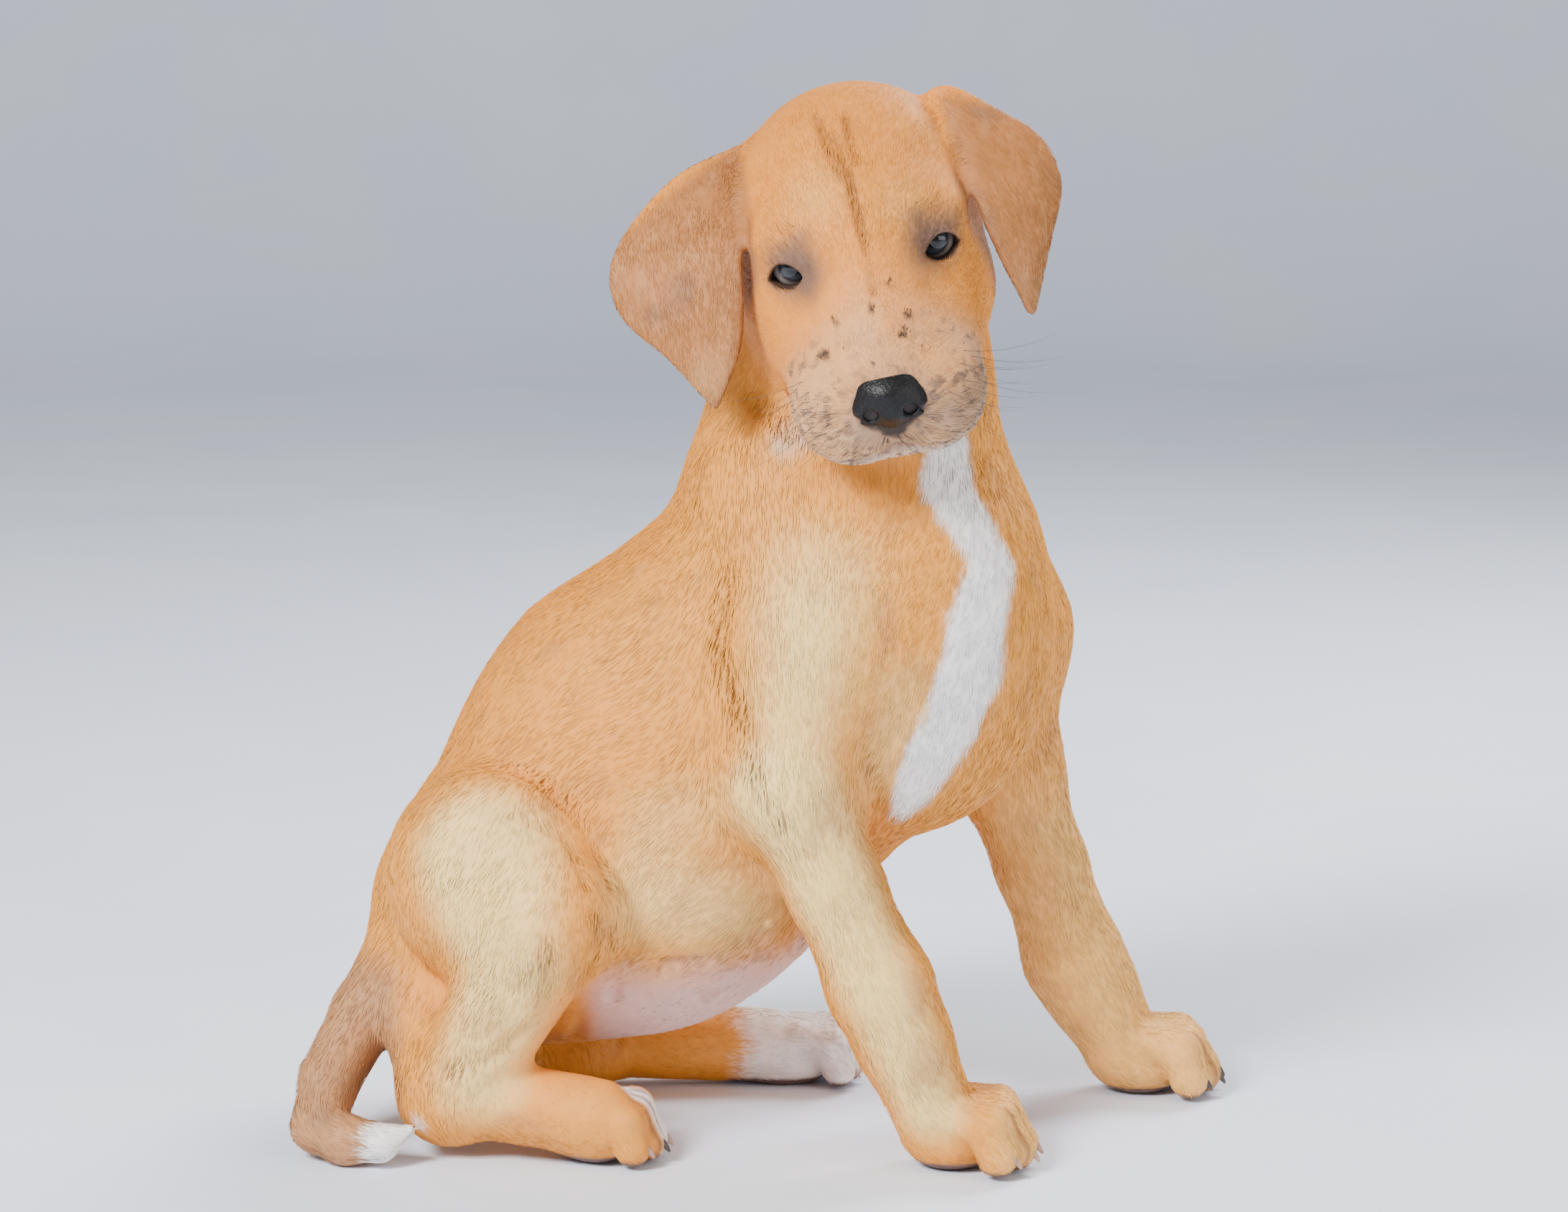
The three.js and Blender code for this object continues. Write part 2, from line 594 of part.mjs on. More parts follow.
const CLAWS = Object.entries(PAW).flatMap(([paw, frame]) => {
  const size = PAW_SIZE[paw.split("_")[0]];
  return TOES.map((offset, i) => {
    const toe = toeLine(size, offset);
    return {
      name: `claw_${paw}_${i + 1}`,
      paw: `paw_${paw}`,
      root: frame.at(toe.tip[0] + size.toe * 0.3, toe.tip[1], toe.tip[2] + 1.5),
      tip: frame.at(...toe.claw),
    };
  });
});

// Build the tail in two lengths, then every flesh node from its cell, clear of what came before it.
const TAIL_ROOM = [[-240, -110, -6], [-130, 40, 110]];
const TIP_ROOM = { low: [-181, -110, -2], high: [-120, -44, 60] };
const tailWhole = skinOf(tailFlesh, ...TAIL_ROOM, 8).trimByPlane([0, 0, 1], 0);
const tailRoom = grown(tailWhole, 2 * GAP);
const rootCut = { low: [-164, -60, -1], high: [40, 100, 200] };
const tailBody = tailWhole.subtract(cellOf(rootCut, GAP));
const built = {
  tail: tailBody.subtract(cellOf(TIP_ROOM, GAP)),
  tail_tip: tailBody.intersect(cellOf(TIP_ROOM)),
};
const taken = [tailRoom.subtract(cellOf(rootCut))];
for (const [name, cell] of Object.entries(CELLS)) {
  const room = cellOf(cell).boundingBox();
  const margin = 1.2 * cell.step;
  let solid = skinOf(flesh, sub(room.min, [margin, margin, margin]), add(room.max, [margin, margin, margin]), cell.step);
  solid = solid.intersect(cellOf(cell));
  for (const other of taken) solid = solid.subtract(other);
  taken.push(cellOf(cell, GAP));
  built[name] = solid;
}
for (const [name] of SIDES) {
  const socket = new THREE.SphereGeometry(EYE_RADIUS + GAP, 14, 10);
  socket.deleteAttribute("normal");
  socket.deleteAttribute("uv");
  const round = mergeVertices(socket.clone().translate(...EYE[name]));
  built.head = built.head.subtract(solidOf(round.attributes.position.array, round.index.array));
}
const headRoom = grown(built.head, 1.5 * GAP);
const noseRoom = [HEAD.at(72, 0, -14).map((v) => v - 32), HEAD.at(72, 0, -14).map((v) => v + 32)];
built.nose = skinOf(noseForm, ...noseRoom, 4.6);
built.head = built.head.subtract(grown(built.nose, 1.5 * GAP));
for (const { paw, root, tip } of CLAWS) built[paw] = built[paw].subtract(clawSolid(root, tip, GAP));

const PAINTS = {
  nose: "nose", tail_tip: "white", paw_hind_left: "white", paw_hind_right: "fawn_light", torso: "fawn_light",
};
for (const [name, solid] of Object.entries(built)) {
  const pieces = solid.decompose().map((piece) => Math.round(piece.volume()));
  if (pieces.length > 1) console.log(name, pieces);
  show(name, largest(solid), PAINTS[name] ?? "fawn");
}
for (const [name] of SIDES) {
  const ball = new THREE.SphereGeometry(EYE_RADIUS, 14, 10);
  const eye = new THREE.Mesh(ball, new THREE.MeshStandardMaterial({ metalness: 0, ...PAINT.eye }));
  eye.position.set(...EYE[name]);
  eye.name = `eye_${name}`;
  model.add(eye);
  show(`ear_${name}`, largest(earSolid(EARS[name]).subtract(headRoom)), "ear");
}
for (const { name, root, tip } of CLAWS) show(name, clawSolid(root, tip), "claw");

// The origin is the middle of the base of the whole model.
const bounds = new THREE.Box3().setFromObject(model);
const centre = bounds.getCenter(new THREE.Vector3());
model.position.set(-centre.x, -centre.y, -bounds.min.z);

export default model;
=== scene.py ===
"""Great dane puppy, sitting with its head turned and bowed: skin, short coat, eyes, nose and claws.

The body is a field of soft forms in millimetres, worked out with numpy. Its zero surface is the skin, and
the tufts of the coat are laid along it. +Z is up, +X the way the body points, +Y the dog's left.
"""

import math

import bpy
import numpy as np
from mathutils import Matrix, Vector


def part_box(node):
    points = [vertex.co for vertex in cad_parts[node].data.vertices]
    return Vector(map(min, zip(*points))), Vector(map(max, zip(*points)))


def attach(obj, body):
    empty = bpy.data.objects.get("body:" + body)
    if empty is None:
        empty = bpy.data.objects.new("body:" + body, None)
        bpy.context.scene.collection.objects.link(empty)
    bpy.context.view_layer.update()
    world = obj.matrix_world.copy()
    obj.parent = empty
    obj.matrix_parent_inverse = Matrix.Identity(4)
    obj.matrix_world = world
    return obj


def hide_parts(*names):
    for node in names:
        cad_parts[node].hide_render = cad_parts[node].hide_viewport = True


bl_info = {
    "name": "Great dane puppy",
    "version": (1, 0, 0),
    "blender": (4, 5, 0),
    "location": "3D View > Sidebar > Puppy",
    "description": "Skin, coat, eyes, nose, claws and stage of a sitting great dane puppy",
    "category": "Add Mesh",
}

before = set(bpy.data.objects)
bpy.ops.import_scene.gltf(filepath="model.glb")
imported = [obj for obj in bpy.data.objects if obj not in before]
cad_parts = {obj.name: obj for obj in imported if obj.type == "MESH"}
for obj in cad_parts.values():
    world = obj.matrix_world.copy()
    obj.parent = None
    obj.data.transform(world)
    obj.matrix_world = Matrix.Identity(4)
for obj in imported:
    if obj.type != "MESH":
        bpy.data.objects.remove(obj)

# Frames and numbers of the pose, in millimetres


class Frame:
    """A place with forward, left and up directions: yaw turns +X to +Y, pitch bows, roll lifts the left."""

    def __init__(self, origin, yaw, pitch, roll):
        turns = [math.radians(a) for a in (yaw, pitch, roll)]
        cy, sy, cp, sp, cr, sr = (f(a) for a in turns for f in (math.cos, math.sin))
        self.origin = np.array(origin, float)
        self.forward = np.array([cy * cp, sy * cp, -sp])
        level = np.array([-sy, cy, 0])
        self.left = level * cr + np.cross(self.forward, level) * sr
        self.up = np.cross(self.forward, self.left)
        self.axes = np.stack([self.forward, self.left, self.up])

    def at(self, f, l, u):
        """World place of a point given in this frame."""
        return self.origin + np.array([f, l, u], float) @ self.axes

    def local(self, points):
        """Coordinates of world points in this frame."""
        return (points - self.origin) @ self.axes.T


def unit(v):
    """The vector, or each row, at length one."""
    v = np.asarray(v, float)
    return v / np.maximum(np.linalg.norm(v, axis=-1, keepdims=True), 1e-9)


WORLD = Frame([0, 0, 0], 0, 0, 0)
HEAD = Frame([34, -45, 387], -85, 31, 13)
CHEST = Frame([44, 6, 222], -62, -8, 0)
PELVIS = Frame([-118, 15, 98], -10, -35, 0)
SIDES = (("right", -1), ("left", 1))
LIMBS = ("shoulder", "foreleg", "paw_fore", "thigh", "hock", "paw_hind")
EYE_SOLID = {name: HEAD.at(-3, side * 33, 0) for name, side in SIDES}
EYE = {name: HEAD.at(-2.5, side * 29.5, 2.5) for name, side in SIDES}
EYE_RADIUS = 9.5
CAMERA_PLACE = np.array([0, -1850, 520.0])
LID = 2.0
FORE = {
    "right": dict(wing=[0, -14, 282], shoulder=[12, -44, 226], elbow=[2, -64, 166], carpus=[41, -71, 80],
                  knuckle=[62, -69, 30], top=36, joint=27, arm=26),
    "left": dict(wing=[60, 34, 280], shoulder=[91, 40, 216], elbow=[101, 54, 150], carpus=[132, 56, 62],
                 knuckle=[152, 57, 26], top=32, joint=24, arm=24),
}
HIND = {
    "right": dict(hip=[-130, -24, 122], knee=[-98, -66, 110], hock=[-143, -48, 26], knuckle=[-80, -62, 20]),
    "left": dict(hip=[-128, 50, 120], knee=[-70, 84, 92], hock=[-92, 66, 20], knuckle=[-8, 72, 17]),
}
PAWS = {
    "fore_right": (Frame([79, -67, 0], -10, 0, 0), dict(width=47, length=62, toe=10, height=26)),
    "fore_left": (Frame([170, 57, 0], -4, 0, 0), dict(width=47, length=62, toe=10, height=26)),
    "hind_right": (Frame([-75, -55, 0], -6, 0, 0), dict(width=40, length=52, toe=9, height=23)),
    "hind_left": (Frame([12, 73, 0], 5, 0, 0), dict(width=40, length=52, toe=9, height=23)),
}
TOES = (-1.5, -0.5, 0.5, 1.5)
TAIL = [([-166, 4, 78], 19), ([-184, -14, 54], 16), ([-198, -36, 30], 14), ([-201, -54, 14], 12.5),
        ([-188, -65, 11], 11.5), ([-173, -69, 11], 9), ([-160, -69, 17], 3)]
EARS = {
    "right": dict(
        inner=[[-8, -24, 404], [-19, -36, 391], [-19, -43, 374], [-20, -47, 352], [-25, -50, 337],
               [-29, -51, 327]],
        outer=[[-12, 6, 434], [-43, -4, 420], [-63, -16, 400], [-72, -26, 382], [-68, -33, 364],
               [-47, -44, 346], [-29, -51, 327]]),
    "left": dict(
        inner=[[70, -26, 424], [82, -36, 414], [86, -38, 403], [93, -37, 388], [101, -34, 373],
               [105, -31, 365]],
        outer=[[54, 2, 447], [68, -6, 457], [87, -10, 449], [109, -14, 435], [116, -18, 418], [112, -24, 396],
               [105, -31, 365]]),
}
LIP = [[73.5, 0, -44], [71, 9, -49], [70, 19, -47], [60, 31, -50], [40, 37, -52], [18, 40, -48],
       [-2, 40, -40]]
COAT = 1.1
SKIN_TRIANGLES = 196000
TUFTS, QUICK_TUFTS = 19800, 9000
TUFT_POINTS = 7
CAMERA_PITCH = 8.82
SHIFT = (np.array(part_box("eye_right")[0]) + np.array(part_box("eye_right")[1])) * 500 - EYE_SOLID["right"]


# Soft forms and the field they make


class Rod:
    """Distance to a line segment less a radius that runs evenly between its ends; flat squeezes it."""

    def __init__(self, a, b, ra, rb=None, flat=None, lie=None):
        self.a, self.b, self.ra = np.array(a, float), np.array(b, float), ra
        self.rb = ra if rb is None else rb
        self.flat = flat
        self.lie = unit(self.b - self.a) if lie is None else lie

    def __call__(self, p):
        a, b, scale = self.a, self.b, 1.0
        if self.flat:
            n, s = self.flat
            p = p + ((p - a) @ n)[:, None] * n * (1 / s - 1)
            b = b + ((b - a) @ n) * n * (1 / s - 1)
            scale = min(1, s) * 0.5 + 0.5
        q, axis = p - a, b - a
        t = np.clip(q @ axis / max(axis @ axis, 1e-6), 0, 1)
        return (np.linalg.norm(q - t[:, None] * axis, axis=1) - self.ra - (self.rb - self.ra) * t) * scale


class Egg:
    """First-order distance to an ellipsoid lying along a frame."""

    def __init__(self, place, centre, radii, lie=None):
        self.place, self.centre = place, place.at(*centre)
        self.radii, self.lie = np.array(radii, float), lie

    def __call__(self, p):
        q = (p - self.centre) @ self.place.axes.T
        k = np.linalg.norm(q / self.radii, axis=1)
        g = np.linalg.norm(q / self.radii**2, axis=1)
        return np.where(g < 1e-9, -self.radii.min(), k * (k - 1) / np.maximum(g, 1e-9))


class Ball:
    """Distance to a sphere."""

    def __init__(self, centre, radius, lie=None):
        self.centre, self.radius, self.lie = np.array(centre, float), radius, lie

    def __call__(self, p):
        return np.linalg.norm(p - self.centre, axis=1) - self.radius


class Sheet:
    """Distance to points spread over an ear, less half the ear's thickness at the nearest point."""

    def __init__(self, points, half, lie):
        self.points, self.half, self.lie = points, half, lie
        self.low, self.high = points.min(0), points.max(0)

    def __call__(self, p):
        out = np.linalg.norm(np.maximum(np.maximum(self.low - p, p - self.high), 0), axis=1) + 4
        close = np.flatnonzero(out < 12)
        for part in np.array_split(close, max(1, len(close) // 4000)):
            if len(part) == 0:
                continue
            lo, hi = p[part].min(0) - 8, p[part].max(0) + 8
            keep = ((self.points > lo) & (self.points < hi)).all(1)
            if not keep.any():
                continue
            cloud, half = self.points[keep], self.half[keep]
            d2 = (p[part] ** 2).sum(1)[:, None] + (cloud**2).sum(1)[None] - 2 * p[part] @ cloud.T
            near = d2.argmin(1)
            out[part] = np.sqrt(np.maximum(d2[np.arange(len(part)), near], 0)) - half[near]
        return out


def smooth_min(a, b, k):
    """Least of two fields, rounded where they are nearly equal."""
    h = np.maximum(k - np.abs(a - b), 0) / k
    return np.minimum(a, b) - h * h * k * 0.25


def spline(points, t):
    """Centripetal spline through the points at values from 0 to 1."""
    p = np.array(points, float)
    p = np.vstack([2 * p[0] - p[1], p, 2 * p[-1] - p[-2]])
    s = np.clip(np.asarray(t, float), 0, 1) * (len(points) - 1)
    i = np.minimum(s.astype(int), len(points) - 2)
    w = (s - i)[:, None]
    p0, p1, p2, p3 = (p[i + k] for k in range(4))
    d0, d1, d2 = (np.maximum(np.linalg.norm(b - a, axis=1), 1e-6)[:, None] ** 0.5
                  for a, b in ((p0, p1), (p1, p2), (p2, p3)))
    t1 = ((p1 - p0) / d0 - (p2 - p0) / (d0 + d1) + (p2 - p1) / d1) * d1
    t2 = ((p2 - p1) / d1 - (p3 - p1) / (d1 + d2) + (p3 - p2) / d2) * d1
    c2, c3 = -3 * p1 + 3 * p2 - 2 * t1 - t2, 2 * p1 - 2 * p2 + t1 + t2
    return p1 + w * (t1 + w * (c2 + w * c3))


def ear_sheet(ear, rows=130, columns=60):
    """Points of an ear flap between its edges, bulging forward, and its half thickness at each."""
    s, t = np.meshgrid(np.linspace(0, 1, rows), np.linspace(0, 1, columns), indexing="ij")
    s, t = s.ravel(), t.ravel()
    inner, outer = spline(ear["inner"], s), spline(ear["outer"], s)
    lift = 9 * np.sin(np.pi * np.minimum(1, s * 1.15)) * 4 * t * (1 - t) * 0.6
    points = inner + (outer - inner) * t[:, None] + np.abs(lift)[:, None] * HEAD.forward
    rim = np.minimum(1, 2.2 * np.minimum(t, 1 - t) + 0.28) * np.where(s > 0.94, 0.7, 1)
    return points, 1.75 + 0.45 * rim


NOSE_TIP = HEAD.at(74, 0, -19)


def away_from_nose(p):
    """The hair of the face runs back from the nose."""
    return unit(p - NOSE_TIP - HEAD.forward * 6)


def body_forms():
    """Every soft form of the body with the width of its blend, in the order they are joined."""
    back = unit([-0.72, 0.05, -0.62])
    down = unit([-0.1, -0.1, -1])
    loin, ribs = np.array([-52, 18, 155.0]), np.array([12, 10, 210.0])
    across = unit([0.25, 0.97, 0])
    forms = [
        (Rod(PELVIS.origin, loin, 64, 88, (across, 0.86), back), 1),
        (Rod(loin, ribs, 88, 84, (across, 0.84), back), 30),
        (Egg(PELVIS, [52, 0, -32], [58, 60, 53], unit([-1, 0, -0.3])), 40),
        (Rod(ribs, CHEST.at(22, -2, 4), 80, 62, (CHEST.forward, 0.95), unit([-0.3, 0, -1])), 30),
        (Egg(CHEST, [26, 2, -22], [42, 52, 62], down), 26),
        (Egg(PELVIS, [-28, 0, 4], [30, 44, 34], back), 24),
        (Rod([44, 8, 268], [36, 12, 338], 60, 49, (np.array([0, 1.0, 0]), 0.92), unit([-0.15, 0, -1])), 34),
        (Rod([36, 12, 338], HEAD.at(-58, 0, -8), 49, 42, lie=unit([-0.1, 0.3, -1])), 26),
        (Rod([2, 22, 292], [22, 26, 360], 42, 40, lie=unit([-0.4, 0, -1])), 26),
    ]
    for name, _ in SIDES:
        leg = FORE[name]
        elbow, carpus = np.array(leg["elbow"], float), np.array(leg["carpus"], float)
        middle = (elbow + carpus) / 2
        pastern = carpus * 0.55 + np.array(leg["knuckle"]) * 0.45
        forms += [
            (Rod(leg["wing"], leg["shoulder"], 34, 36), 26),
            (Rod(leg["shoulder"], elbow, leg["top"], leg["joint"]), 18),
            (Rod(elbow, middle, leg["arm"], 21), 12),
            (Rod(middle, carpus, 20, 23), 8),
            (Rod(carpus, pastern, 22, 20), 8),
            (Rod(pastern, leg["knuckle"], 21, 19), 8),
        ]
    for name, side in SIDES:
        leg = {k: np.array(v, float) for k, v in HIND[name].items()}
        seat = PELVIS.at(-46, side * 36, -4) + [0, 0, -6]
        heel = leg["hock"] + [-4, 0, 2]
        thigh = leg["hip"] * 0.7 + leg["knee"] * 0.3
        forms += [
            (Egg(WORLD, thigh, [48, 42, 52], unit([-0.25, 0, -1])), 10),
            (Rod(leg["hip"], leg["knee"], 42, 29, lie=unit([0.1, 0, -1])), 14),
            (Rod(leg["knee"], leg["hock"], 27, 21), 12),
            (Rod(seat, heel, 24, 17, lie=unit([0.1, 0, -1])), 16),
            (Rod(heel, leg["knuckle"], 18, 18), 8),
        ]
    for place, size in PAWS.values():
        length, width = size["length"], size["width"]
        palm = Egg(place, [-length * 0.12, 0, 13], [length * 0.36, width * 0.42, 15], place.forward)
        forms.append((palm, 8))
        for index in TOES:
            toe = toe_line(size, index)
            root, knuckle, tip = (place.at(*toe[k]) for k in ("root", "knuckle", "tip"))
            forms += [(Rod(root, knuckle, size["toe"] * 0.9, size["toe"]), 4),
                      (Rod(knuckle, tip, size["toe"], size["toe"] * 0.95), 3)]
    for i in range(len(TAIL) - 1):
        (a, ra), (b, rb) = TAIL[i], TAIL[i + 1]
        forms.append((Rod(a, b, ra, rb), 3 if i else 10))
    face = away_from_nose
    forms += [
        (Egg(HEAD, [-46, 0, 4], [54, 50, 40], face), 22),
        (Rod(HEAD.at(0, 0, -8), HEAD.at(60, 0, -22), 31, 20, lie=face), 24),
        (Rod(HEAD.at(-36, 0, -44), HEAD.at(52, 0, -48), 30, 13, lie=face), 18),
        (Egg(HEAD, [-8, 0, 12], [26, 30, 20], face), 20),
    ]
    for _, side in SIDES:
        forms += [
            (Egg(HEAD, [-28, side * 32, -20], [36, 16, 32], face), 20),
            (Rod(HEAD.at(-6, side * 26, -26), HEAD.at(44, side * 17, -32), 24, 22, lie=face), 18),
            (Egg(HEAD, [52, side * 18, -35], [25, 22, 23], face), 12),
            (Egg(HEAD, [-10, side * 25, 13], [17, 19, 10], face), 12),
        ]
    for name, _ in SIDES:
        forms.append((Ball(EYE[name], EYE_RADIUS + LID + COAT, face), 7))
    for name, _ in SIDES:
        points, half = ear_sheet(EARS[name])
        run = unit(np.array(EARS[name]["inner"][-1]) - np.array(EARS[name]["outer"][1]))
        forms.append((Sheet(points, half + COAT, run), 5))
    return forms


def toe_line(size, index):
    """Root, knuckle, tip and claw of one toe in the paw's frame."""
    y = index * size["width"] / 4.1
    reach = size["length"] * (0.5 if abs(index) < 1 else 0.4)
    return dict(
        root=[-size["length"] * 0.12, y * 0.7, size["height"]],
        knuckle=[reach * 0.42, y, size["height"] * 0.86],
        tip=[reach - size["toe"], y * 1.08, size["toe"]],
        claw=[reach + 2.5, y * 1.1, 4],
    )


def eye_axes(side):
    """Direction an eye opens to, and the directions along and across its slit."""
    forward = unit(HEAD.forward + HEAD.left * side * 0.26 + HEAD.up * 0.28)
    left = unit(HEAD.left - forward * (HEAD.left @ forward) + HEAD.up * (0.22 if side < 0 else -0.04))
    return forward, left, np.cross(forward, left)


class Slit:
    """The almond opening between the lids: two arcs that meet at the corners, open to the front."""

    def __init__(self, name, side, width=9.0, height=6.0):
        self.centre, self.axes = EYE[name], eye_axes(side)
        self.width, self.height = width, height

    def __call__(self, p):
        forward, left, up = self.axes
        q = p - self.centre
        across = q @ left / self.width
        rise = np.where(q @ up > 0, self.height, self.height * 0.9)
        return np.maximum(np.abs(q @ up) - rise * (1 - across * across), -(q @ forward))


def cutters():
    """What is taken out of the forms: eye sockets and slits, the lip line and the groove under the nose."""
    out = [(Slit(name, side), 2.0) for name, side in SIDES]
    out += [(Ball(EYE[name], EYE_RADIUS + 0.15), 0.3) for name, _ in SIDES]
    out.append((Rod(HEAD.at(82, 0, -28), HEAD.at(78, 0, -44), 1.2), 2))
    for _, side in SIDES:
        for a, b in zip(LIP, LIP[1:]):
            ends = [HEAD.at(f, side * l, u) for f, l, u in (a, b)]
            out.append((Rod(*ends, 1.6), 3))
    return out


FORMS = body_forms()
CUTTERS = cutters()
BLOCK = 18.0


def field(points):
    """Signed distance to the skin, which lies a coat's depth under the body's outline."""
    points = np.asarray(points, float)
    out = np.empty(len(points))
    keys = np.floor(points / BLOCK).astype(np.int64)
    code = (keys[:, 0] * 4096 + keys[:, 1]) * 4096 + keys[:, 2]
    order = np.argsort(code, kind="stable")
    starts = np.flatnonzero(np.diff(code[order], prepend=code[order][0] - 1))
    groups = np.split(order, starts[1:])
    centres = (keys[order[starts]] + 0.5) * BLOCK
    reach = BLOCK * 0.87 * 1.25
    table = [np.stack([form(centres) for form, _ in forms]) for forms in (FORMS, CUTTERS)]
    for g, idx in enumerate(groups):
        p = points[idx]
        d = np.full(len(p), 1e3)
        for i, (form, k) in enumerate(FORMS):
            if table[0][i, g] < reach + k + 9:
                d = smooth_min(d, form(p), k)
        d += COAT
        for i, (form, k) in enumerate(CUTTERS):
            if table[1][i, g] < reach + k + 4:
                d = -smooth_min(-d, form(p), k)
        out[idx] = np.where(d > 900, table[0][:, g].min(), d)
    return np.maximum(out, 0.5 - points[:, 2])


def slope(points, form=field, step=0.5):
    """Gradient of a field by central differences."""
    out = np.empty((len(points), 3))
    for axis in range(3):
        e = np.zeros(3)
        e[axis] = step
        out[:, axis] = (form(points + e) - form(points - e)) / (2 * step)
    return out


def settle(points, form=field, rounds=2, most=1.5):
    """Moves points along the field's slope onto its surface."""
    for _ in range(rounds):
        g = slope(points, form)
        steep = np.maximum((g * g).sum(1), 0.3)
        move = np.clip(form(points) / steep, -most, most)
        points = points - g * move[:, None]
    return points


def nets(values, axes):
    """Surface where values on a grid change sign: a point in each crossed cell, a quad on each edge."""
    inside = values < 0
    n = np.array(values.shape) - 1
    count = np.zeros(n, np.int8)
    offsets = [(a, b, c) for a in (0, 1) for b in (0, 1) for c in (0, 1)]
    for a, b, c in offsets:
        count += inside[a:a + n[0], b:b + n[1], c:c + n[2]]
    cells = np.argwhere((count > 0) & (count < 8))
    number = np.full(n, -1, np.int64)
    number[tuple(cells.T)] = np.arange(len(cells))
    total, hits = np.zeros((len(cells), 3)), np.zeros(len(cells))
    for start in offsets:
        for axis in range(3):
            if start[axis]:
                continue
            end = list(start)
            end[axis] = 1
            va = values[tuple((cells + start).T)].astype(float)
            vb = values[tuple((cells + end).T)].astype(float)
            hit = (va < 0) != (vb < 0)
            t = np.where(hit, va / np.where(hit, va - vb, 1), 0)
            spot = np.tile(np.array(start, float), (len(cells), 1))
            spot[:, axis] = t
            total += spot * hit[:, None]
            hits += hit
    spot = cells + total / hits[:, None]
    points = np.stack([np.interp(spot[:, a], np.arange(len(axes[a])), axes[a]) for a in range(3)], 1)
    quads = []
    for axis in range(3):
        b, c = (axis + 1) % 3, (axis + 2) % 3
        first = np.take(inside, range(0, inside.shape[axis] - 1), axis)
        second = np.take(inside, range(1, inside.shape[axis]), axis)
        at = np.argwhere(first != second)
        at = at[(at[:, b] > 0) & (at[:, c] > 0) & (at[:, b] < n[b]) & (at[:, c] < n[c])]
        ring = []
        for s, t in ((0, 0), (-1, 0), (-1, -1), (0, -1)):
            cell = at.copy()
            cell[:, b] += s
            cell[:, c] += t
            ring.append(number[tuple(cell.T)])
        ring = np.stack(ring, 1)
        out = inside[tuple(at.T)]
        quads.append(np.where(out[:, None], ring, ring[:, ::-1]))
    return points, np.concatenate(quads)


def grid_axis(low, high, coarse, fine, spans):
    """Steps from low to high, fine inside the spans and coarse elsewhere."""
    out = [low]
    while out[-1] < high:
        inside = any(a <= out[-1] < b for a, b in spans)
        out.append(out[-1] + (fine if inside else coarse))
    return np.array(out)


def skin_surface():
    """The skin's points and quads: the field on a grid that is finer at the head and paws, then settled."""
    fine, coarse = ((1.35, 2.7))
    axes = [
        grid_axis(-222, 226, coarse, fine, [(-78, 122)]),
        grid_axis(-122, 128, coarse, fine, [(-122, 10)]),
        grid_axis(-4, 472, coarse, fine, [(-4, 14), (318, 462)]),
    ]
    keys = [np.floor(a / BLOCK).astype(int) for a in axes]
    low = np.array([k.min() for k in keys])
    shape = [k.max() - k.min() + 1 for k in keys]
    blocks = np.stack(np.meshgrid(*[np.arange(s) for s in shape], indexing="ij"), -1).reshape(-1, 3) + low
    middle = field((blocks + 0.5) * BLOCK).reshape(shape)
    near = np.abs(middle) < BLOCK * 0.87 * 1.3 + 4
    index = np.ix_(*[k - m for k, m in zip(keys, low)])
    values = middle[index].astype(np.float32)
    nodes = np.argwhere(near[index])
    points = np.stack([axes[a][nodes[:, a]] for a in range(3)], 1)
    values[tuple(nodes.T)] = field(points)
    values[values == 0] = 1e-4
    points, quads = nets(values, axes)
    return settle(points, rounds=2, most=0.5), quads


# Markings, painted shade and the lie of the coat


def noise(p, size, seed):
    """Smooth random values from 0 to 1 in space, one lattice cell to a size."""
    table = np.random.default_rng(seed).random((32, 32, 32))
    q = p / size + 100
    i = np.floor(q).astype(int)
    w = q - i
    w = w * w * (3 - 2 * w)
    total = np.zeros(len(p))
    for a in (0, 1):
        for b in (0, 1):
            for c in (0, 1):
                weight = (w[:, 0] if a else 1 - w[:, 0]) * (w[:, 1] if b else 1 - w[:, 1])
                weight = weight * (w[:, 2] if c else 1 - w[:, 2])
                total += weight * table[(i[:, 0] + a) % 32, (i[:, 1] + b) % 32, (i[:, 2] + c) % 32]
    return total


def near_line(p, line, width, soft=None):
    """1 on a polyline, falling to 0 at its width; each point may carry its own width."""
    line = np.array(line, float)
    widths = np.broadcast_to(width, len(line)).astype(float)
    best = np.full(len(p), -1e9)
    for a, b, wa, wb in zip(line, line[1:], widths, widths[1:]):
        axis = b - a
        t = np.clip((p - a) @ axis / max(axis @ axis, 1e-6), 0, 1)
        d = np.linalg.norm(p - a - t[:, None] * axis, axis=1)
        w = wa + (wb - wa) * t
        best = np.maximum(best, (w - d) / (soft if soft else w))
    return ease(best)


def near_spot(p, centre, radius, soft=None):
    """1 at a place, falling to 0 at a radius."""
    return ease((radius - np.linalg.norm(p - np.asarray(centre), axis=1)) / (soft if soft else radius))


def ease(x):
    """Smooth step from 0 to 1."""
    x = np.clip(x, 0, 1)
    return x * x * (3 - 2 * x)


def linear(rgb):
    """Linear colour from 0 to 255 display values."""
    c = np.array(rgb, float) / 255
    return np.where(c <= 0.04045, c / 12.92, ((c + 0.055) / 1.055) ** 2.4)


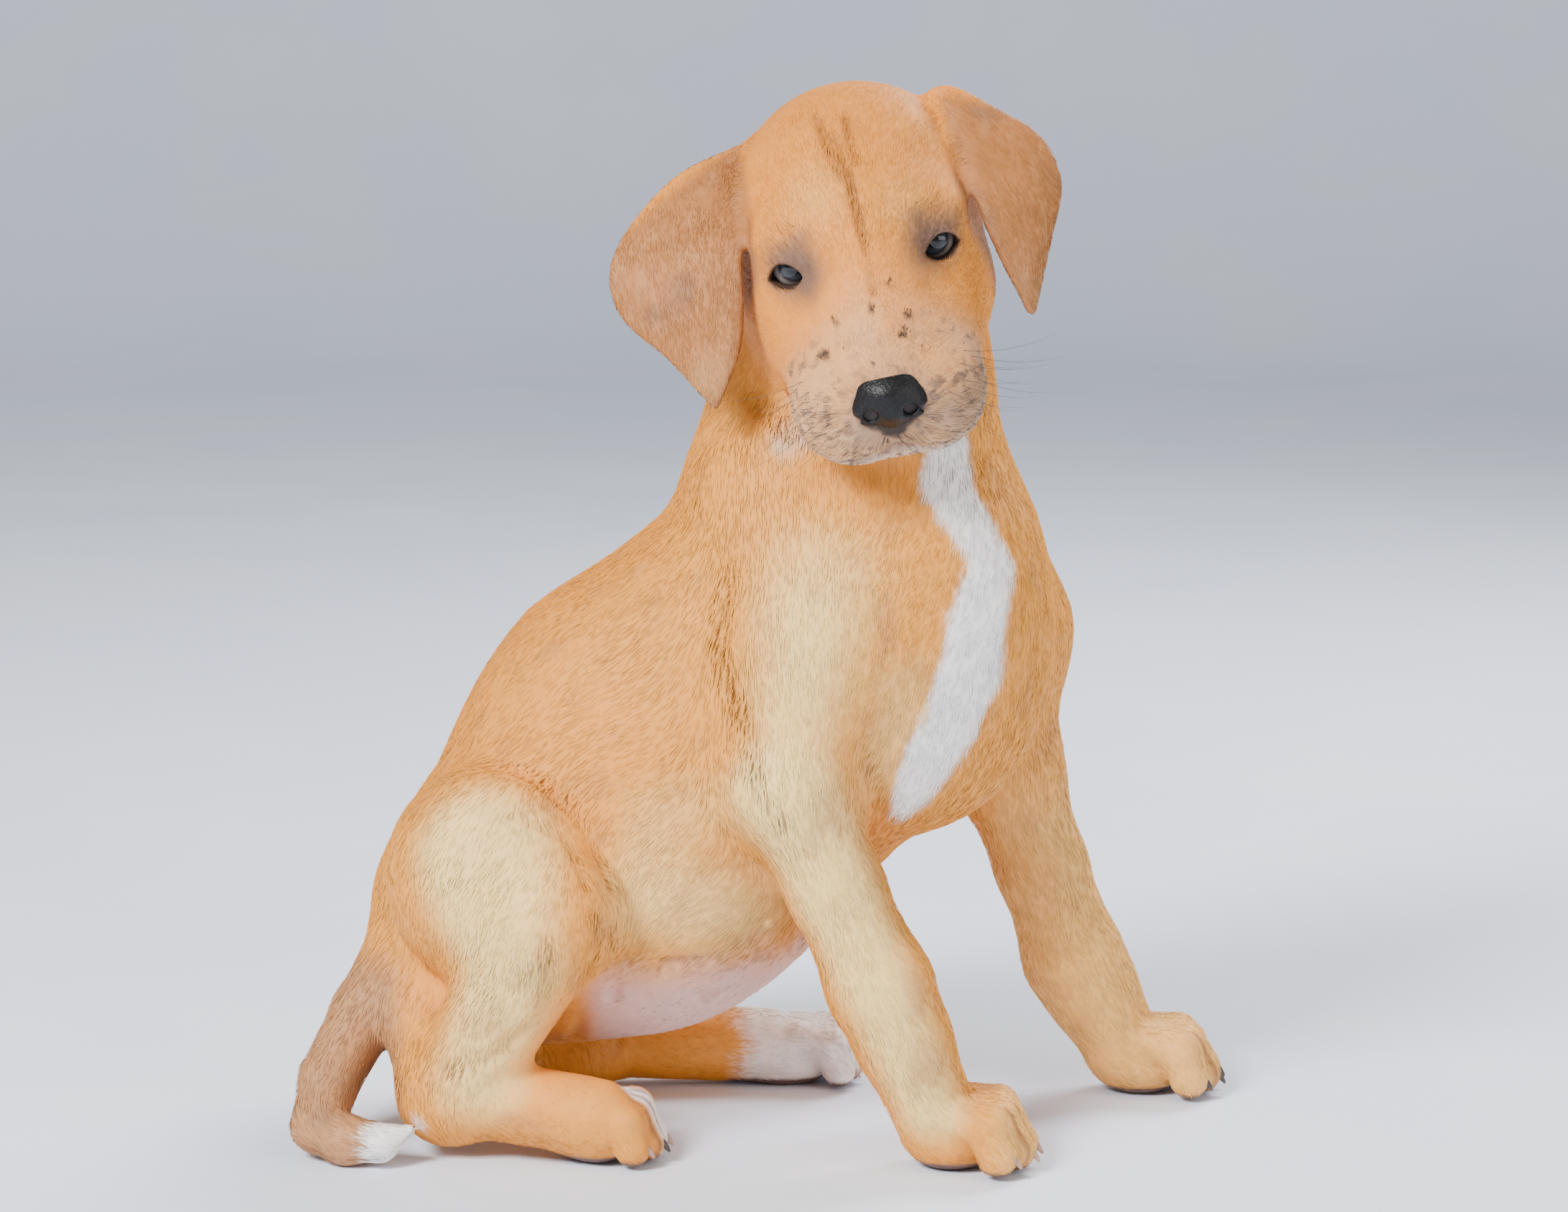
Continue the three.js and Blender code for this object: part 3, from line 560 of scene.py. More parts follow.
TINTS = {k: linear(v) for k, v in dict(
    fawn=(232, 152, 58), gold=(226, 138, 46), cream=(253, 214, 136), white=(248, 242, 238),
    ear=(170, 108, 58), ear_pale=(204, 150, 98), muzzle=(200, 168, 134), dusk=(96, 80, 72),
    dark=(44, 36, 34), belly=(222, 178, 166), brown=(150, 98, 62), mottle_and_fold_shade=(176, 122, 82), lip=(140, 108, 98),
    furrow_shade=(130, 78, 38), pad=(110, 84, 78), tail=(186, 132, 88), chin=(220, 192, 164),
).items()}
BLAZE = [[72, -34, 310], [69, -43, 294], [80, -49, 275], [87, -51, 258], [82, -62, 236], [80, -67, 216],
         [70, -67, 192], [58, -61, 168], [50, -53, 150]]
BLAZE_WIDTH = [12, 14, 14, 14, 17, 17, 16, 13, 8]
FURROWS = [
    ([[-46, -9, 45], [-27, -7, 42], [-8, -3, 39]], 2.6, 1.4),
    ([[-43, 3, 45], [-29, 3, 43], [-15, 4, 40]], 2.6, 1.4),
    ([[-30, -4, 43], [-11, 0, 39], [7, 1, 33], [21, 2, 23], [36, 2, 10]], 2.8, 1.3),
]
FOLDS = [
    ([[-127, -37, 171], [-106, -49, 167], [-88, -59, 153], [-77, -67, 138], [-72, -75, 125]], 5, 2.2),
    ([[-115, -67, 154], [-92, -68, 144], [-83, -86, 127]], 4, 1.0),
    ([[-79, -89, 113], [-84, -78, 84], [-91, -16, 42]], 5, 1.6),
    ([[-72, -81, 106], [-73, -51, 72], [-75, 48, 25]], 5, 1.6),
    ([[-99, -95, 104], [-103, -78, 68], [-126, -76, 50], [-142, -72, 43]], 6, 1.8),
    ([[-98, -94, 98], [-112, -84, 84], [-130, -74, 76]], 5, 1.2),
    ([[-20, -76, 202], [-14, -85, 178], [-1, -91, 154]], 7, 1.4),
    ([[-24, -58, 255], [-28, -66, 226], [-21, -75, 197]], 9, 1.4),
    ([[37, -71, 176], [45, -49, 140]], 6, 1.4),
    ([[-17, -20, 328], [1, -40, 314], [20, -52, 306]], 7, 1.2),
]
PALE_PATCHES = [
    (0.85, [[15, -85, 262], [0, -95, 175]], [46, 34], None),
    (0.9, [[2, -80, 166], [41, -90, 80], [62, -85, 30]], [30, 24, 22], 18),
    (0.85, [[-128, -80, 140], [-118, -90, 90], [-130, -70, 40]], [46, 36, 30], 26),
    (0.75, [[-60, -70, 120], [-10, -60, 105]], 34, None),
    (0.45, [[-52, -70, 150], [-10, -88, 165]], 30, None),
    (0.45, [[50, -70, 210], [46, -70, 170]], 26, None),
]
FRECKLES = [[33, 9, 9], [43, 0, 6], [54, 11, -1], [55, -14, -2], [51, -23, -6], [67, -1, -1], [59, 19, -6],
            [41, -16, 2], [45, 14, 2]]


def paint(points, normals):
    """Colour of coat and skin at each point, in linear values, from markings placed on the body, with painted
    shade in its folds, forehead furrows, ear-root creases and the gaps between the toes.
    """
    p, h = points, HEAD.local(points)
    f, l, u = h.T
    colour = np.tile(TINTS["fawn"], (len(p), 1))

    def over(name, amount):
        colour[:] += (TINTS[name] - colour) * np.clip(amount, 0, 1)[:, None]

    fine, mid, broad = noise(p, 3, 1), noise(p, 11, 2), noise(p, 38, 3)
    head = ease((p[:, 2] - 318) / 30)
    head_near = ease((100 - np.linalg.norm(h - [10, 0, -10], axis=1)) / 10)
    over("gold", head * 0.75 + 0.25 * ease(broad * 2 - 0.8))
    over("gold", 0.5 * near_line(p, [[-160, 20, 150], [-100, 10, 235], [-30, 10, 290]], 60))
    for amount, line, width, soft in PALE_PATCHES:
        over("cream", amount * near_line(p, line, width, soft))
    over("cream", 0.18 * near_spot(h, [-6, -16, 34], 24, 20))
    over("cream", 0.14 * near_spot(h, [6, 22, 30], 20, 16))
    over("cream", 0.35 * ease((p[:, 0] - 80) / 20) * ease((180 - p[:, 2]) / 60))
    over("mottle_and_fold_shade", 0.7 * ease(mid * 3 - 1.6) * near_line(p, [[-151, -63, 143], [-138, -75, 128]], 22))
    over("mottle_and_fold_shade", 0.35 * ease(mid * 3 - 1.9) * (1 - head))
    under = near_line(p, [[-66, -30, 66], [-20, -10, 84], [10, 0, 96]], [44, 50, 30], 20)
    # Painted shade: darker along the skin's folds and creases, more where a fold is deeper.
    for line, width, depth in FOLDS:
        over("mottle_and_fold_shade", 0.09 * depth * near_line(p, line, width * 0.7))
    low = ease((104 + 14 * (mid - 0.5) - p[:, 2]) / 36)
    over("belly", under * low * ease((p[:, 0] + 92) / 16) * ease((p[:, 1] + 88) / 12))
    over("brown", 0.5 * ease(mid * 2.4 - 1.1) * near_line(p, [[52, -75, 205], [52, -60, 160]], 26))
    edge = 5 * (mid - 0.5) + 3 * (fine - 0.5)
    over("white", near_line(p + edge[:, None] * [1, 0, 0], BLAZE, BLAZE_WIDTH, 5) * ease((6 - p[:, 1]) / 20))
    over("tail", ease((-160 - p[:, 0]) / 14) * ease((92 - p[:, 2]) / 20) * ease((24 - p[:, 1]) / 14))
    over("dusk", 0.55 * ease(mid * 3 - 1.3) * near_spot(p, [-202, -50, 18], 30))
    over("white", near_line(p, [[-174, -71, 11], [-163, -72, 16]], 11.5, 3))
    # ears
    for name, side in SIDES:
        inner, outer = np.array(EARS[name]["inner"]), np.array(EARS[name]["outer"])
        middle = np.vstack([(inner[0] + outer[0]) / 2, (inner[2] + outer[3]) / 2, inner[-1]])
        flap = near_line(p, middle, [26, 38, 16], 8)
        flap = flap * ease((side * l - 41) / 5 + (side * l > 60))
        streak = noise(p * [1, 1, 0.25], 5, 5)
        over("ear", flap * 0.95)
        tip = near_line(p, [inner[-2], inner[-1]], 26)
        over("ear_pale", flap * ease(streak * 3 - 1.6) * 0.2 + 0.4 * flap * tip)
        over("dusk", 0.35 * flap * ease(noise(p, 14, 6) * 3 - 1.9))
        over("brown", 0.6 * near_line(p, inner, 5))
        # Painted shade in the crease where the ear folds at its root.
        over("dark", 0.4 * near_line(p, inner[:2], 4))
    # face
    face = ease((u + 65) / 5) * ease((58 - np.abs(l)) / 8) * head_near
    muzzle = ease((f - 18 - 8 * (mid - 0.5)) / 36) * face
    over("muzzle", muzzle * (0.25 + 0.3 * mid + 0.3 * ease((-8 - u) / 30)))
    over("chin", face * ease((f - 20) / 20) * ease((-40 - u) / 12))
    over("dusk", 0.45 * muzzle * ease((l - 12) / 16) * ease((-14 - u) / 16))
    for name, side in SIDES:
        c = [9, side * 29, 10]
        ring = np.sqrt(((h - c) ** 2 / np.array([400, 260, 190])).sum(1))
        over("dusk", 0.9 * ease(1.4 - ring + 0.4 * (mid - 0.5)))
        centre, (forward, left, up) = EYE[name], eye_axes(side)
        q = p - centre
        across, rise = q @ left / 9.9, q @ up
        rim = np.abs(rise) - 6.3 * (1 - np.minimum(across**2, 1.3))
        over("dark", 0.9 * ease((1.7 - rim) / 2.6) * (q @ forward > 0) * (np.linalg.norm(q, axis=1) < 15))
    over("dusk", 0.5 * ease(mid * 3 - 1.6) * near_spot(h, [10, 27, 24], 15))
    over("dusk", 0.5 * ease(mid * 3 - 1.5) * near_spot(h, [6, -25, 27], 16))
    for i, spot in enumerate(FRECKLES):
        ragged = (h - spot) * [1, 1 + 0.5 * (i % 2), 0.7] + 5 * (fine[:, None] - 0.5)
        over("dark", near_spot(ragged, [0, 0, 0], 2.3 + 0.6 * (i % 3), 1.4))
    speckle = noise(p, 2.4, 8)
    over("dusk", 0.85 * ease(speckle * 7 - 4.3) * ease((f - 24) / 20) * ease((-u + 8) / 30) * face)
    # Painted shade in the furrows of the forehead and the groove running down to the muzzle.
    for line, width, _ in FURROWS:
        over("furrow_shade", 0.75 * near_line(h, line, width * 1.5))
    over("brown", 0.3 * ease(mid * 3 - 1.5) * near_spot(h, [-26, 0, 42], 26))
    for _, side in SIDES:
        lips = [[a, side * b, c] for a, b, c in LIP]
        over("lip", 0.8 * near_line(h, lips, [6, 6, 5, 4, 3, 2, 2]))
        over("dark", 0.75 * near_line(h, lips, [2.6, 2.6, 2.4, 2.2, 1.8, 1.2, 1]))
    over("dark", near_line(h, [[80, 0, -26], [78, 0, -45]], 2.4))
    over("dusk", 0.45 * near_spot(h, [75, 0, -24], 26, 12))
    over("dark", near_spot((h - [70, 0, -21]) * [1, 1, 1.25], [0, 0, 0], 17, 3))
    over("dark", near_spot(h, [78, 0, -31], 7, 3))
    # paws
    q = PAWS["hind_right"][0].local(p)
    middle_toes = ease((q[:, 0] + 2) / 8) * ease((12 - np.abs(q[:, 1] - 3)) / 4)
    over("white", middle_toes * (np.abs(q[:, 2]) < 34) * (q[:, 0] < 40))
    q = PAWS["hind_left"][0].local(p)
    sock = 0.85 * ease((q[:, 0] + 36 + 8 * mid) / 14)
    over("white", sock * (q[:, 2] < 44) * (np.abs(q[:, 1]) < 34) * (q[:, 0] < 40))
    for place, size in PAWS.values():
        q = place.local(p)
        sole = (np.abs(q[:, 0]) < 40) & (np.abs(q[:, 1]) < 30) & (q[:, 2] < 30)
        over("pad", sole * ease((5.5 - q[:, 2]) / 2) * ease(-normals[:, 2] * 2))
        # Painted shade: dark lines in the gaps between the toes.
        for index in (-1, 0, 1):
            over("brown", 0.85 * sole * ease((2.2 - np.abs(q[:, 1] - index * size["width"] / 4.1)) / 2.2)
                 * ease((q[:, 0] - 4) / 8))
    colour *= (0.93 + 0.14 * fine)[:, None] * (0.95 + 0.1 * broad)[:, None]
    return np.clip(colour, 0, 1)


def lie_of_coat(points, normals):
    """Direction the hair runs at each point: the directions of the forms near it, laid on the skin."""
    total = np.zeros((len(points), 3))
    for form, _ in FORMS:
        w = np.exp(-np.clip(form(points), -6, 60) / 6.0)[:, None]
        way = form.lie(points) if callable(form.lie) else form.lie
        total += w * way
    swirl = (noise(points, 30, 11) - 0.5)[:, None] * np.cross(normals, unit(total)) * 0.5
    total = unit(total) + swirl
    flat = total - (total * normals).sum(1)[:, None] * normals
    return unit(flat)


def folds(points):
    """Depth of the creases and small swellings of the skin at each point, outward positive."""
    h = HEAD.local(points)
    out = np.zeros(len(points))
    for line, width, depth in FURROWS:
        out -= depth * near_line(h, line, width)
    out -= 0.8 * near_line(h, [[59, -35, -18], [71, -31, -26], [75, -26, -39]], 3)
    out -= 0.8 * near_line(h, [[54, 38, -21], [58, 40, -37]], 3)
    for line, width, depth in FOLDS:
        out -= 1.5 * depth * near_line(points, line, width)
    for spot in ([-55, -50, 72], [-6, -47, 102], [-30, -52, 84]):
        out += 1.8 * near_spot(points, spot, 4)
    out += 0.35 * (noise(points, 7, 21) - 0.5) + 0.5 * (noise(points, 18, 22) - 0.5)
    return out


# Meshes


def mesh_object(name, points, faces):
    """A mesh object from points in millimetres of the pose and faces of one size each."""
    faces = np.asarray(faces)
    mesh = bpy.data.meshes.new(name)
    mesh.vertices.add(len(points))
    mesh.vertices.foreach_set("co", ((np.asarray(points) + SHIFT) * 0.001).astype(np.float32).ravel())
    size = faces.shape[1]
    mesh.loops.add(faces.size)
    mesh.loops.foreach_set("vertex_index", faces.ravel().astype(np.int32))
    mesh.polygons.add(len(faces))
    mesh.polygons.foreach_set("loop_start", np.arange(0, faces.size, size, dtype=np.int32))
    mesh.polygons.foreach_set("use_smooth", np.ones(len(faces), bool))
    mesh.update(calc_edges=True)
    mesh.validate()
    obj = bpy.data.objects.new(name, mesh)
    bpy.context.scene.collection.objects.link(obj)
    return obj


def set_tint(obj, colour):
    """Stores a colour for each point of a mesh."""
    layer = obj.data.color_attributes.new("tint", "FLOAT_COLOR", "POINT")
    rows = np.column_stack([colour, np.ones(len(colour))]).astype(np.float32)
    layer.data.foreach_set("color", rows.ravel())


def set_value(obj, name, values):
    """Stores a number for each point of a mesh."""
    layer = obj.data.attributes.new(name, "FLOAT", "POINT")
    layer.data.foreach_set("value", np.asarray(values, np.float32))


def set_uv(obj, uv):
    """Stores the baking map, one place to each corner."""
    layer = obj.data.uv_layers.new(name="OFBake")
    layer.data.foreach_set("uv", np.asarray(uv, np.float32).ravel())


REGIONS = [
    ("head", HEAD.origin, 1.0),
    ("ear_right", [-45, -25, 385], 0.6),
    ("ear_left", [98, -20, 415], 0.6),
    ("neck", [38, 6, 300], 1.0),
    ("chest", [50, -10, 220], 1.1),
    ("loin", [-55, 15, 150], 1.2),
    ("rump", [-140, 15, 110], 1.0),
    ("arm_right", [10, -80, 190], 0.9),
    ("leg_right", [45, -72, 70], 0.9),
    ("paw_right", [85, -67, 12], 0.9),
    ("arm_left", [98, 60, 180], 0.9),
    ("leg_left", [132, 57, 60], 0.9),
    ("thigh_right", [-125, -80, 115], 0.9),
    ("foot_right", [-90, -60, 20], 0.9),
    ("thigh_left", [-110, 90, 100], 0.9),
    ("foot_left", [-20, 72, 18], 0.9),
    ("tail", [-195, -40, 30], 0.7),
]


def chart(points, normals):
    """Place of each point on a flat layout of the skin: a tile for each region and each of six directions."""
    spots = np.array([r[1] for r in REGIONS], float)
    weight = np.array([r[2] for r in REGIONS])
    region = (np.linalg.norm(points[:, None] - spots[None], axis=2) / weight).argmin(1)
    axis = np.abs(normals).argmax(1)
    way = axis * 2 + (normals[np.arange(len(points)), axis] > 0)
    return region * 6 + way


def lay_flat(points, tile):
    """Baking coordinates of points in given tiles."""
    tiles_across = 11
    region, axis = tile // 6, (tile % 6) // 2
    spots = np.array([r[1] for r in REGIONS], float)[region]
    q = points - spots
    other = np.array([[1, 2], [0, 2], [0, 1]])[axis]
    flat = np.take_along_axis(q, other, 1)
    flat = 0.5 + np.clip(flat / 200, -0.48, 0.48)
    return (np.stack([tile % tiles_across, tile // tiles_across], 1) + flat) / tiles_across


# Materials


def group_of(name, outputs, inputs):
    """A new node group with its sockets; returns the group, its input node and its output node."""
    tree = bpy.data.node_groups.new(name, "ShaderNodeTree")
    for label, kind, value in inputs:
        socket = tree.interface.new_socket(label, in_out="INPUT", socket_type=kind)
        if value is not None:
            socket.default_value = value
    for label, kind in outputs:
        tree.interface.new_socket(label, in_out="OUTPUT", socket_type=kind)
    return tree, tree.nodes.new("NodeGroupInput"), tree.nodes.new("NodeGroupOutput")


def grain_group():
    """Fine variation of a colour and a matching height, from a noise in object space."""
    name = "coat grain"
    if name in bpy.data.node_groups:
        return bpy.data.node_groups[name]
    tree, source, sink = group_of(
        name, [("Color", "NodeSocketColor"), ("Height", "NodeSocketFloat")],
        [("Color", "NodeSocketColor", None), ("Scale", "NodeSocketFloat", 900.0),
         ("Depth", "NodeSocketFloat", 0.3)])
    nodes, links = tree.nodes, tree.links
    place = nodes.new("ShaderNodeTexCoord")
    grain = nodes.new("ShaderNodeTexNoise")
    grain.inputs["Detail"].default_value = 4.0
    links.new(place.outputs["Object"], grain.inputs["Vector"])
    links.new(source.outputs["Scale"], grain.inputs["Scale"])
    centred = nodes.new("ShaderNodeMath")
    centred.operation = "SUBTRACT"
    centred.inputs[1].default_value = 0.5
    links.new(grain.outputs["Fac"], centred.inputs[0])
    depth = nodes.new("ShaderNodeMath")
    depth.operation = "MULTIPLY_ADD"
    depth.inputs[2].default_value = 1.0
    links.new(centred.outputs[0], depth.inputs[0])
    links.new(source.outputs["Depth"], depth.inputs[1])
    tint = nodes.new("ShaderNodeVectorMath")
    tint.operation = "SCALE"
    links.new(source.outputs["Color"], tint.inputs[0])
    links.new(depth.outputs[0], tint.inputs["Scale"])
    links.new(tint.outputs[0], sink.inputs["Color"])
    links.new(grain.outputs["Fac"], sink.inputs["Height"])
    return tree


def new_material(name, **values):
    """A material with a Principled shader and the given constant inputs."""
    material = bpy.data.materials.new(name)
    material.use_nodes = True
    shader = material.node_tree.nodes["Principled BSDF"]
    for label, value in values.items():
        shader.inputs[label.replace("_", " ")].default_value = value
    return material, material.node_tree.nodes, material.node_tree.links, shader


def coat_material(name, scale, depth, bump, distance, **values):
    """Short coat or bare skin: the stored tint with a fine grain, and a bump of the same grain."""
    material, nodes, links, shader = new_material(name, **values)
    tint = nodes.new("ShaderNodeAttribute")
    tint.attribute_name = "tint"
    grain = nodes.new("ShaderNodeGroup")
    grain.node_tree = grain_group()
    grain.inputs["Scale"].default_value = scale
    grain.inputs["Depth"].default_value = depth
    links.new(tint.outputs["Color"], grain.inputs["Color"])
    links.new(grain.outputs["Color"], shader.inputs["Base Color"])
    if bump:
        relief = nodes.new("ShaderNodeBump")
        relief.inputs["Strength"].default_value = bump
        relief.inputs["Distance"].default_value = distance
        links.new(grain.outputs["Height"], relief.inputs["Height"])
        links.new(relief.outputs["Normal"], shader.inputs["Normal"])
    return material


def nose_material():
    """Dark damp leather with a pebbled surface."""
    material, nodes, links, shader = new_material(
        "nose leather", Roughness=0.42, Specular_IOR_Level=0.22, Coat_Weight=0.02, Coat_Roughness=0.25)
    place = nodes.new("ShaderNodeTexCoord")
    pebble = nodes.new("ShaderNodeTexVoronoi")
    pebble.inputs["Scale"].default_value = 850.0
    links.new(place.outputs["Object"], pebble.inputs["Vector"])
    ramp = nodes.new("ShaderNodeValToRGB")
    ramp.color_ramp.elements[0].color = (0.012, 0.011, 0.012, 1)
    ramp.color_ramp.elements[1].color = (0.004, 0.004, 0.004, 1)
    links.new(pebble.outputs["Distance"], ramp.inputs["Fac"])
    links.new(ramp.outputs["Color"], shader.inputs["Base Color"])
    relief = nodes.new("ShaderNodeBump")
    relief.invert = True
    relief.inputs["Strength"].default_value = 0.5
    relief.inputs["Distance"].default_value = 0.0004
    links.new(pebble.outputs["Distance"], relief.inputs["Height"])
    links.new(relief.outputs["Normal"], shader.inputs["Normal"])
    return material


def eye_material():
    """Pupil, iris with fine rays and a dark rim, and white, by the stored angle from the gaze."""
    material, nodes, links, shader = new_material("wet eye", Roughness=0.05, Specular_IOR_Level=0.4)
    angle = nodes.new("ShaderNodeAttribute")
    angle.attribute_name = "gaze"
    place = nodes.new("ShaderNodeTexCoord")
    rays = nodes.new("ShaderNodeTexNoise")
    rays.inputs["Scale"].default_value = 900.0
    links.new(place.outputs["Object"], rays.inputs["Vector"])
    mix = nodes.new("ShaderNodeMath")
    mix.operation = "MULTIPLY_ADD"
    mix.inputs[1].default_value = 0.08
    links.new(rays.outputs["Fac"], mix.inputs[0])
    links.new(angle.outputs["Fac"], mix.inputs[2])
    ramp = nodes.new("ShaderNodeValToRGB")
    stops = [(0.0, (0.003, 0.003, 0.004)), (0.40, (0.004, 0.004, 0.006)), (0.47, (0.022, 0.025, 0.030)),
             (0.66, (0.040, 0.045, 0.052)), (0.76, (0.010, 0.010, 0.014)), (0.86, (0.09, 0.07, 0.06)),
             (1.0, (0.22, 0.18, 0.16))]
    ramp.color_ramp.elements[0].color = (*stops[0][1], 1)
    ramp.color_ramp.elements[1].color = (*stops[-1][1], 1)
    for at, colour in stops[1:-1]:
        ramp.color_ramp.elements.new(at).color = (*colour, 1)
    links.new(mix.outputs[0], ramp.inputs["Fac"])
    links.new(ramp.outputs["Color"], shader.inputs["Base Color"])
    return material


# Pieces

STATE = {}


def thinned(points, quads, most):
    """The same surface in no more triangles than asked, with the fewest where it is flattest."""
    draft = mesh_object("draft", points, quads)
    draft.modifiers.new("thin", "DECIMATE").ratio = min(1.0, most / (2 * len(quads)))
    whole = draft.evaluated_get(bpy.context.evaluated_depsgraph_get())
    mesh = whole.to_mesh()
    mesh.calc_loop_triangles()
    spots = np.empty(len(mesh.vertices) * 3, np.float32)
    mesh.vertices.foreach_get("co", spots)
    tris = np.empty(len(mesh.loop_triangles) * 3, np.int32)
    mesh.loop_triangles.foreach_get("vertices", tris)
    whole.to_mesh_clear()
    data = draft.data
    bpy.data.objects.remove(draft)
    bpy.data.meshes.remove(data)
    return spots.reshape(-1, 3).astype(float) * 1000 - SHIFT, tris.reshape(-1, 3)


def build_skin():
    """One skin over all the flesh: the zero surface of the field, moved along its normals by the folds."""
    points, quads = skin_surface()
    normals = unit(slope(points))
    points = points + normals * folds(points)[:, None]
    STATE["skin"] = (points, quads, normals)
    points, tris = thinned(points, quads, SKIN_TRIANGLES)
    normals = unit(slope(points))
    obj = mesh_object("skin", points, tris)
    # Painted shade: the skin is a little darker than the coat, as the shade between the hairs.
    set_tint(obj, paint(points, normals) * 0.97)
    tile = chart(points[tris].mean(1), unit(normals[tris].mean(1)))
    set_uv(obj, lay_flat(points[tris].reshape(-1, 3), np.repeat(tile, 3)))
    obj.data.materials.append(coat_material("skin", 1400.0, 0.35, 0.35, 0.0004, Roughness=0.62,
                                            Specular_IOR_Level=0.35))
    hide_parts("torso", "neck", "head", "tail", "tail_tip", "ear_right", "ear_left",
                *[f"{part}_{side}" for part in LIMBS for side in ("right", "left")])
    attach(obj, "root")


def coat_size(points):
    """Length and width of the hair tufts, and how thickly they stand, by place on the body."""
    h = HEAD.local(points)
    f, l, _ = h.T
    z = points[:, 2]
    head = ease((z - 318) / 24)
    length = 7.0 - 2.6 * head
    length = length - 1.6 * head * ease((f - 8) / 30)
    ears = head * ease((np.abs(l) - 46) / 6)
    length = length + 0.6 * ears
    length = length - 2.4 * ease((46 - z) / 16) * (points[:, 0] > -140)
    width = 0.5 - 0.16 * head
    thick = 1 + 1.3 * head + 0.7 * head * ease((f + 4) / 20)
    for name, _ in SIDES:
        q = points - EYE[name]
        reach = np.linalg.norm(q, axis=1)
        length = np.where(reach < 19, np.minimum(length, 1.2 + 0.14 * reach), length)
        thick = thick * np.where(reach < 12.6, 0.0, 1.0)
    thick = thick * (1 - near_spot((h - [72, 0, -21]) * [1, 1, 1.25], [0, 0, 0], 17.5, 3))
    belly = near_line(points, [[-84, -50, 50], [-10, -20, 78]], 58, 22)
    bare = belly * ease((96 - z) / 20) * (points[:, 0] < 20)
    thick = thick * (1 - 0.85 * bare)
    length = length * (1 - 0.5 * bare)
    thick = thick * ease((z - 2.5) / 2)
    return np.maximum(length, 1.6), width, thick


def build_coat(pieces):
    """Short flat hair: tapering three-sided tufts, rooted evenly on the skin and laid along it."""
    points, quads, normals = STATE["skin"]
    random = np.random.default_rng(7)
    tris = np.concatenate([quads[:, [0, 1, 2]], quads[:, [0, 2, 3]]])
    a, b, c = (points[tris[:, k]] for k in range(3))
    area = np.linalg.norm(np.cross(b - a, c - a), axis=1) / 2
    thick = coat_size((a + b + c) / 3)[2]
    per_piece = TUFTS
    total = per_piece * pieces
    pick = random.choice(len(tris), total, p=area * thick / (area * thick).sum())
    w = random.random((total, 2))
    over = w.sum(1) > 1
    w[over] = 1 - w[over]
    u, v = w.T
    t = tris[pick]
    root = a[pick] * (1 - u - v)[:, None] + b[pick] * u[:, None] + c[pick] * v[:, None]
    normal = unit(normals[t[:, 0]] * (1 - u - v)[:, None] + normals[t[:, 1]] * u[:, None]
                  + normals[t[:, 2]] * v[:, None])
    run = lie_of_coat(root, normal)
    turn = random.normal(0, 0.09, total)
    side = np.cross(normal, run)
    run = unit(run * np.cos(turn)[:, None] + side * np.sin(turn)[:, None])
    length, width, _ = coat_size(root)
    length = length * random.uniform(0.75, 1.2, total)
    width = width * random.uniform(0.7, 1.25, total) * 1
    colour = paint(root, normal) * random.normal(1.0, 0.06, (total, 1))
    colour = colour * random.normal(1.0, 0.012, (total, 3))
    past = field(root + run * length[:, None] - normal * 0.8) > 0.6
    length = np.where(past, length * 0.45, length)
    lift = np.minimum(0.075 * length, COAT * 0.5) * random.uniform(0.6, 1.25, total)
    rings, centre = [], [root - normal * 0.35]
    for share, height in ((0.5, 0.62), (1.0, 1.0)):
        spot = root + run * (length * share)[:, None]
        over_skin = field(spot)
        slant = unit(slope(spot, step=1.0))
        gap = np.clip(over_skin - lift * height, -3.0, 3.0)
        centre.append(spot - slant * gap[:, None])
    side = np.cross(normal, run)
    for spot, wide in ((centre[0], 1.0), (centre[1], 0.85)):
        half = (width * wide)[:, None] / 2
        rings.append(np.stack([spot + side * half, spot - side * half, spot + normal * half * 0.7], 1))
    shape = np.concatenate([rings[0], rings[1], centre[2][:, None]], 1)
    pattern = np.array([[0, 1, 2], [0, 3, 4], [0, 4, 1], [1, 4, 5], [1, 5, 2], [2, 5, 3], [2, 3, 0],
                        [3, 6, 4], [4, 6, 5], [5, 6, 3]])
    tile = chart(root, normal)
    uv_root = lay_flat(root, tile)
    patch = np.array([[-1, -1], [1, -1], [0, -0.6], [-0.7, 0.2], [0.7, 0.2], [0, 0.4], [0, 1]]) * 0.0015
    material = coat_material("short coat", 2600.0, 0.25, 0.0, 0.0, Roughness=0.55, Specular_IOR_Level=0.18)
    order = np.argsort(tile, kind="stable")
    for n, part in enumerate(np.array_split(order, pieces)):
        faces = (pattern[None] + TUFT_POINTS * np.arange(len(part))[:, None, None]).reshape(-1, 3)
        obj = mesh_object(f"coat_{n + 1}", shape[part].reshape(-1, 3), faces)
        lean = side[part][:, None] * np.array([1, -1, 0, 1, -1, 0, 0])[None, :, None] * 0.25
        face_out = normal[part][:, None] + lean
        obj.data.normals_split_custom_set_from_vertices(unit(face_out).reshape(-1, 3))
        # Painted shade at each tuft's root, where it lies among the other hairs, and a little painted light
        # at its tip.
        shade = np.array([0.93, 0.93, 0.95, 0.99, 0.99, 1.0, 1.03])
        set_tint(obj, np.clip(colour[part][:, None] * shade[None, :, None], 0, 1).reshape(-1, 3))
        uv = uv_root[part][:, None] + patch[None]
        set_uv(obj, uv[:, pattern.ravel()].reshape(-1, 2))
        obj.data.materials.append(material)
        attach(obj, "root")


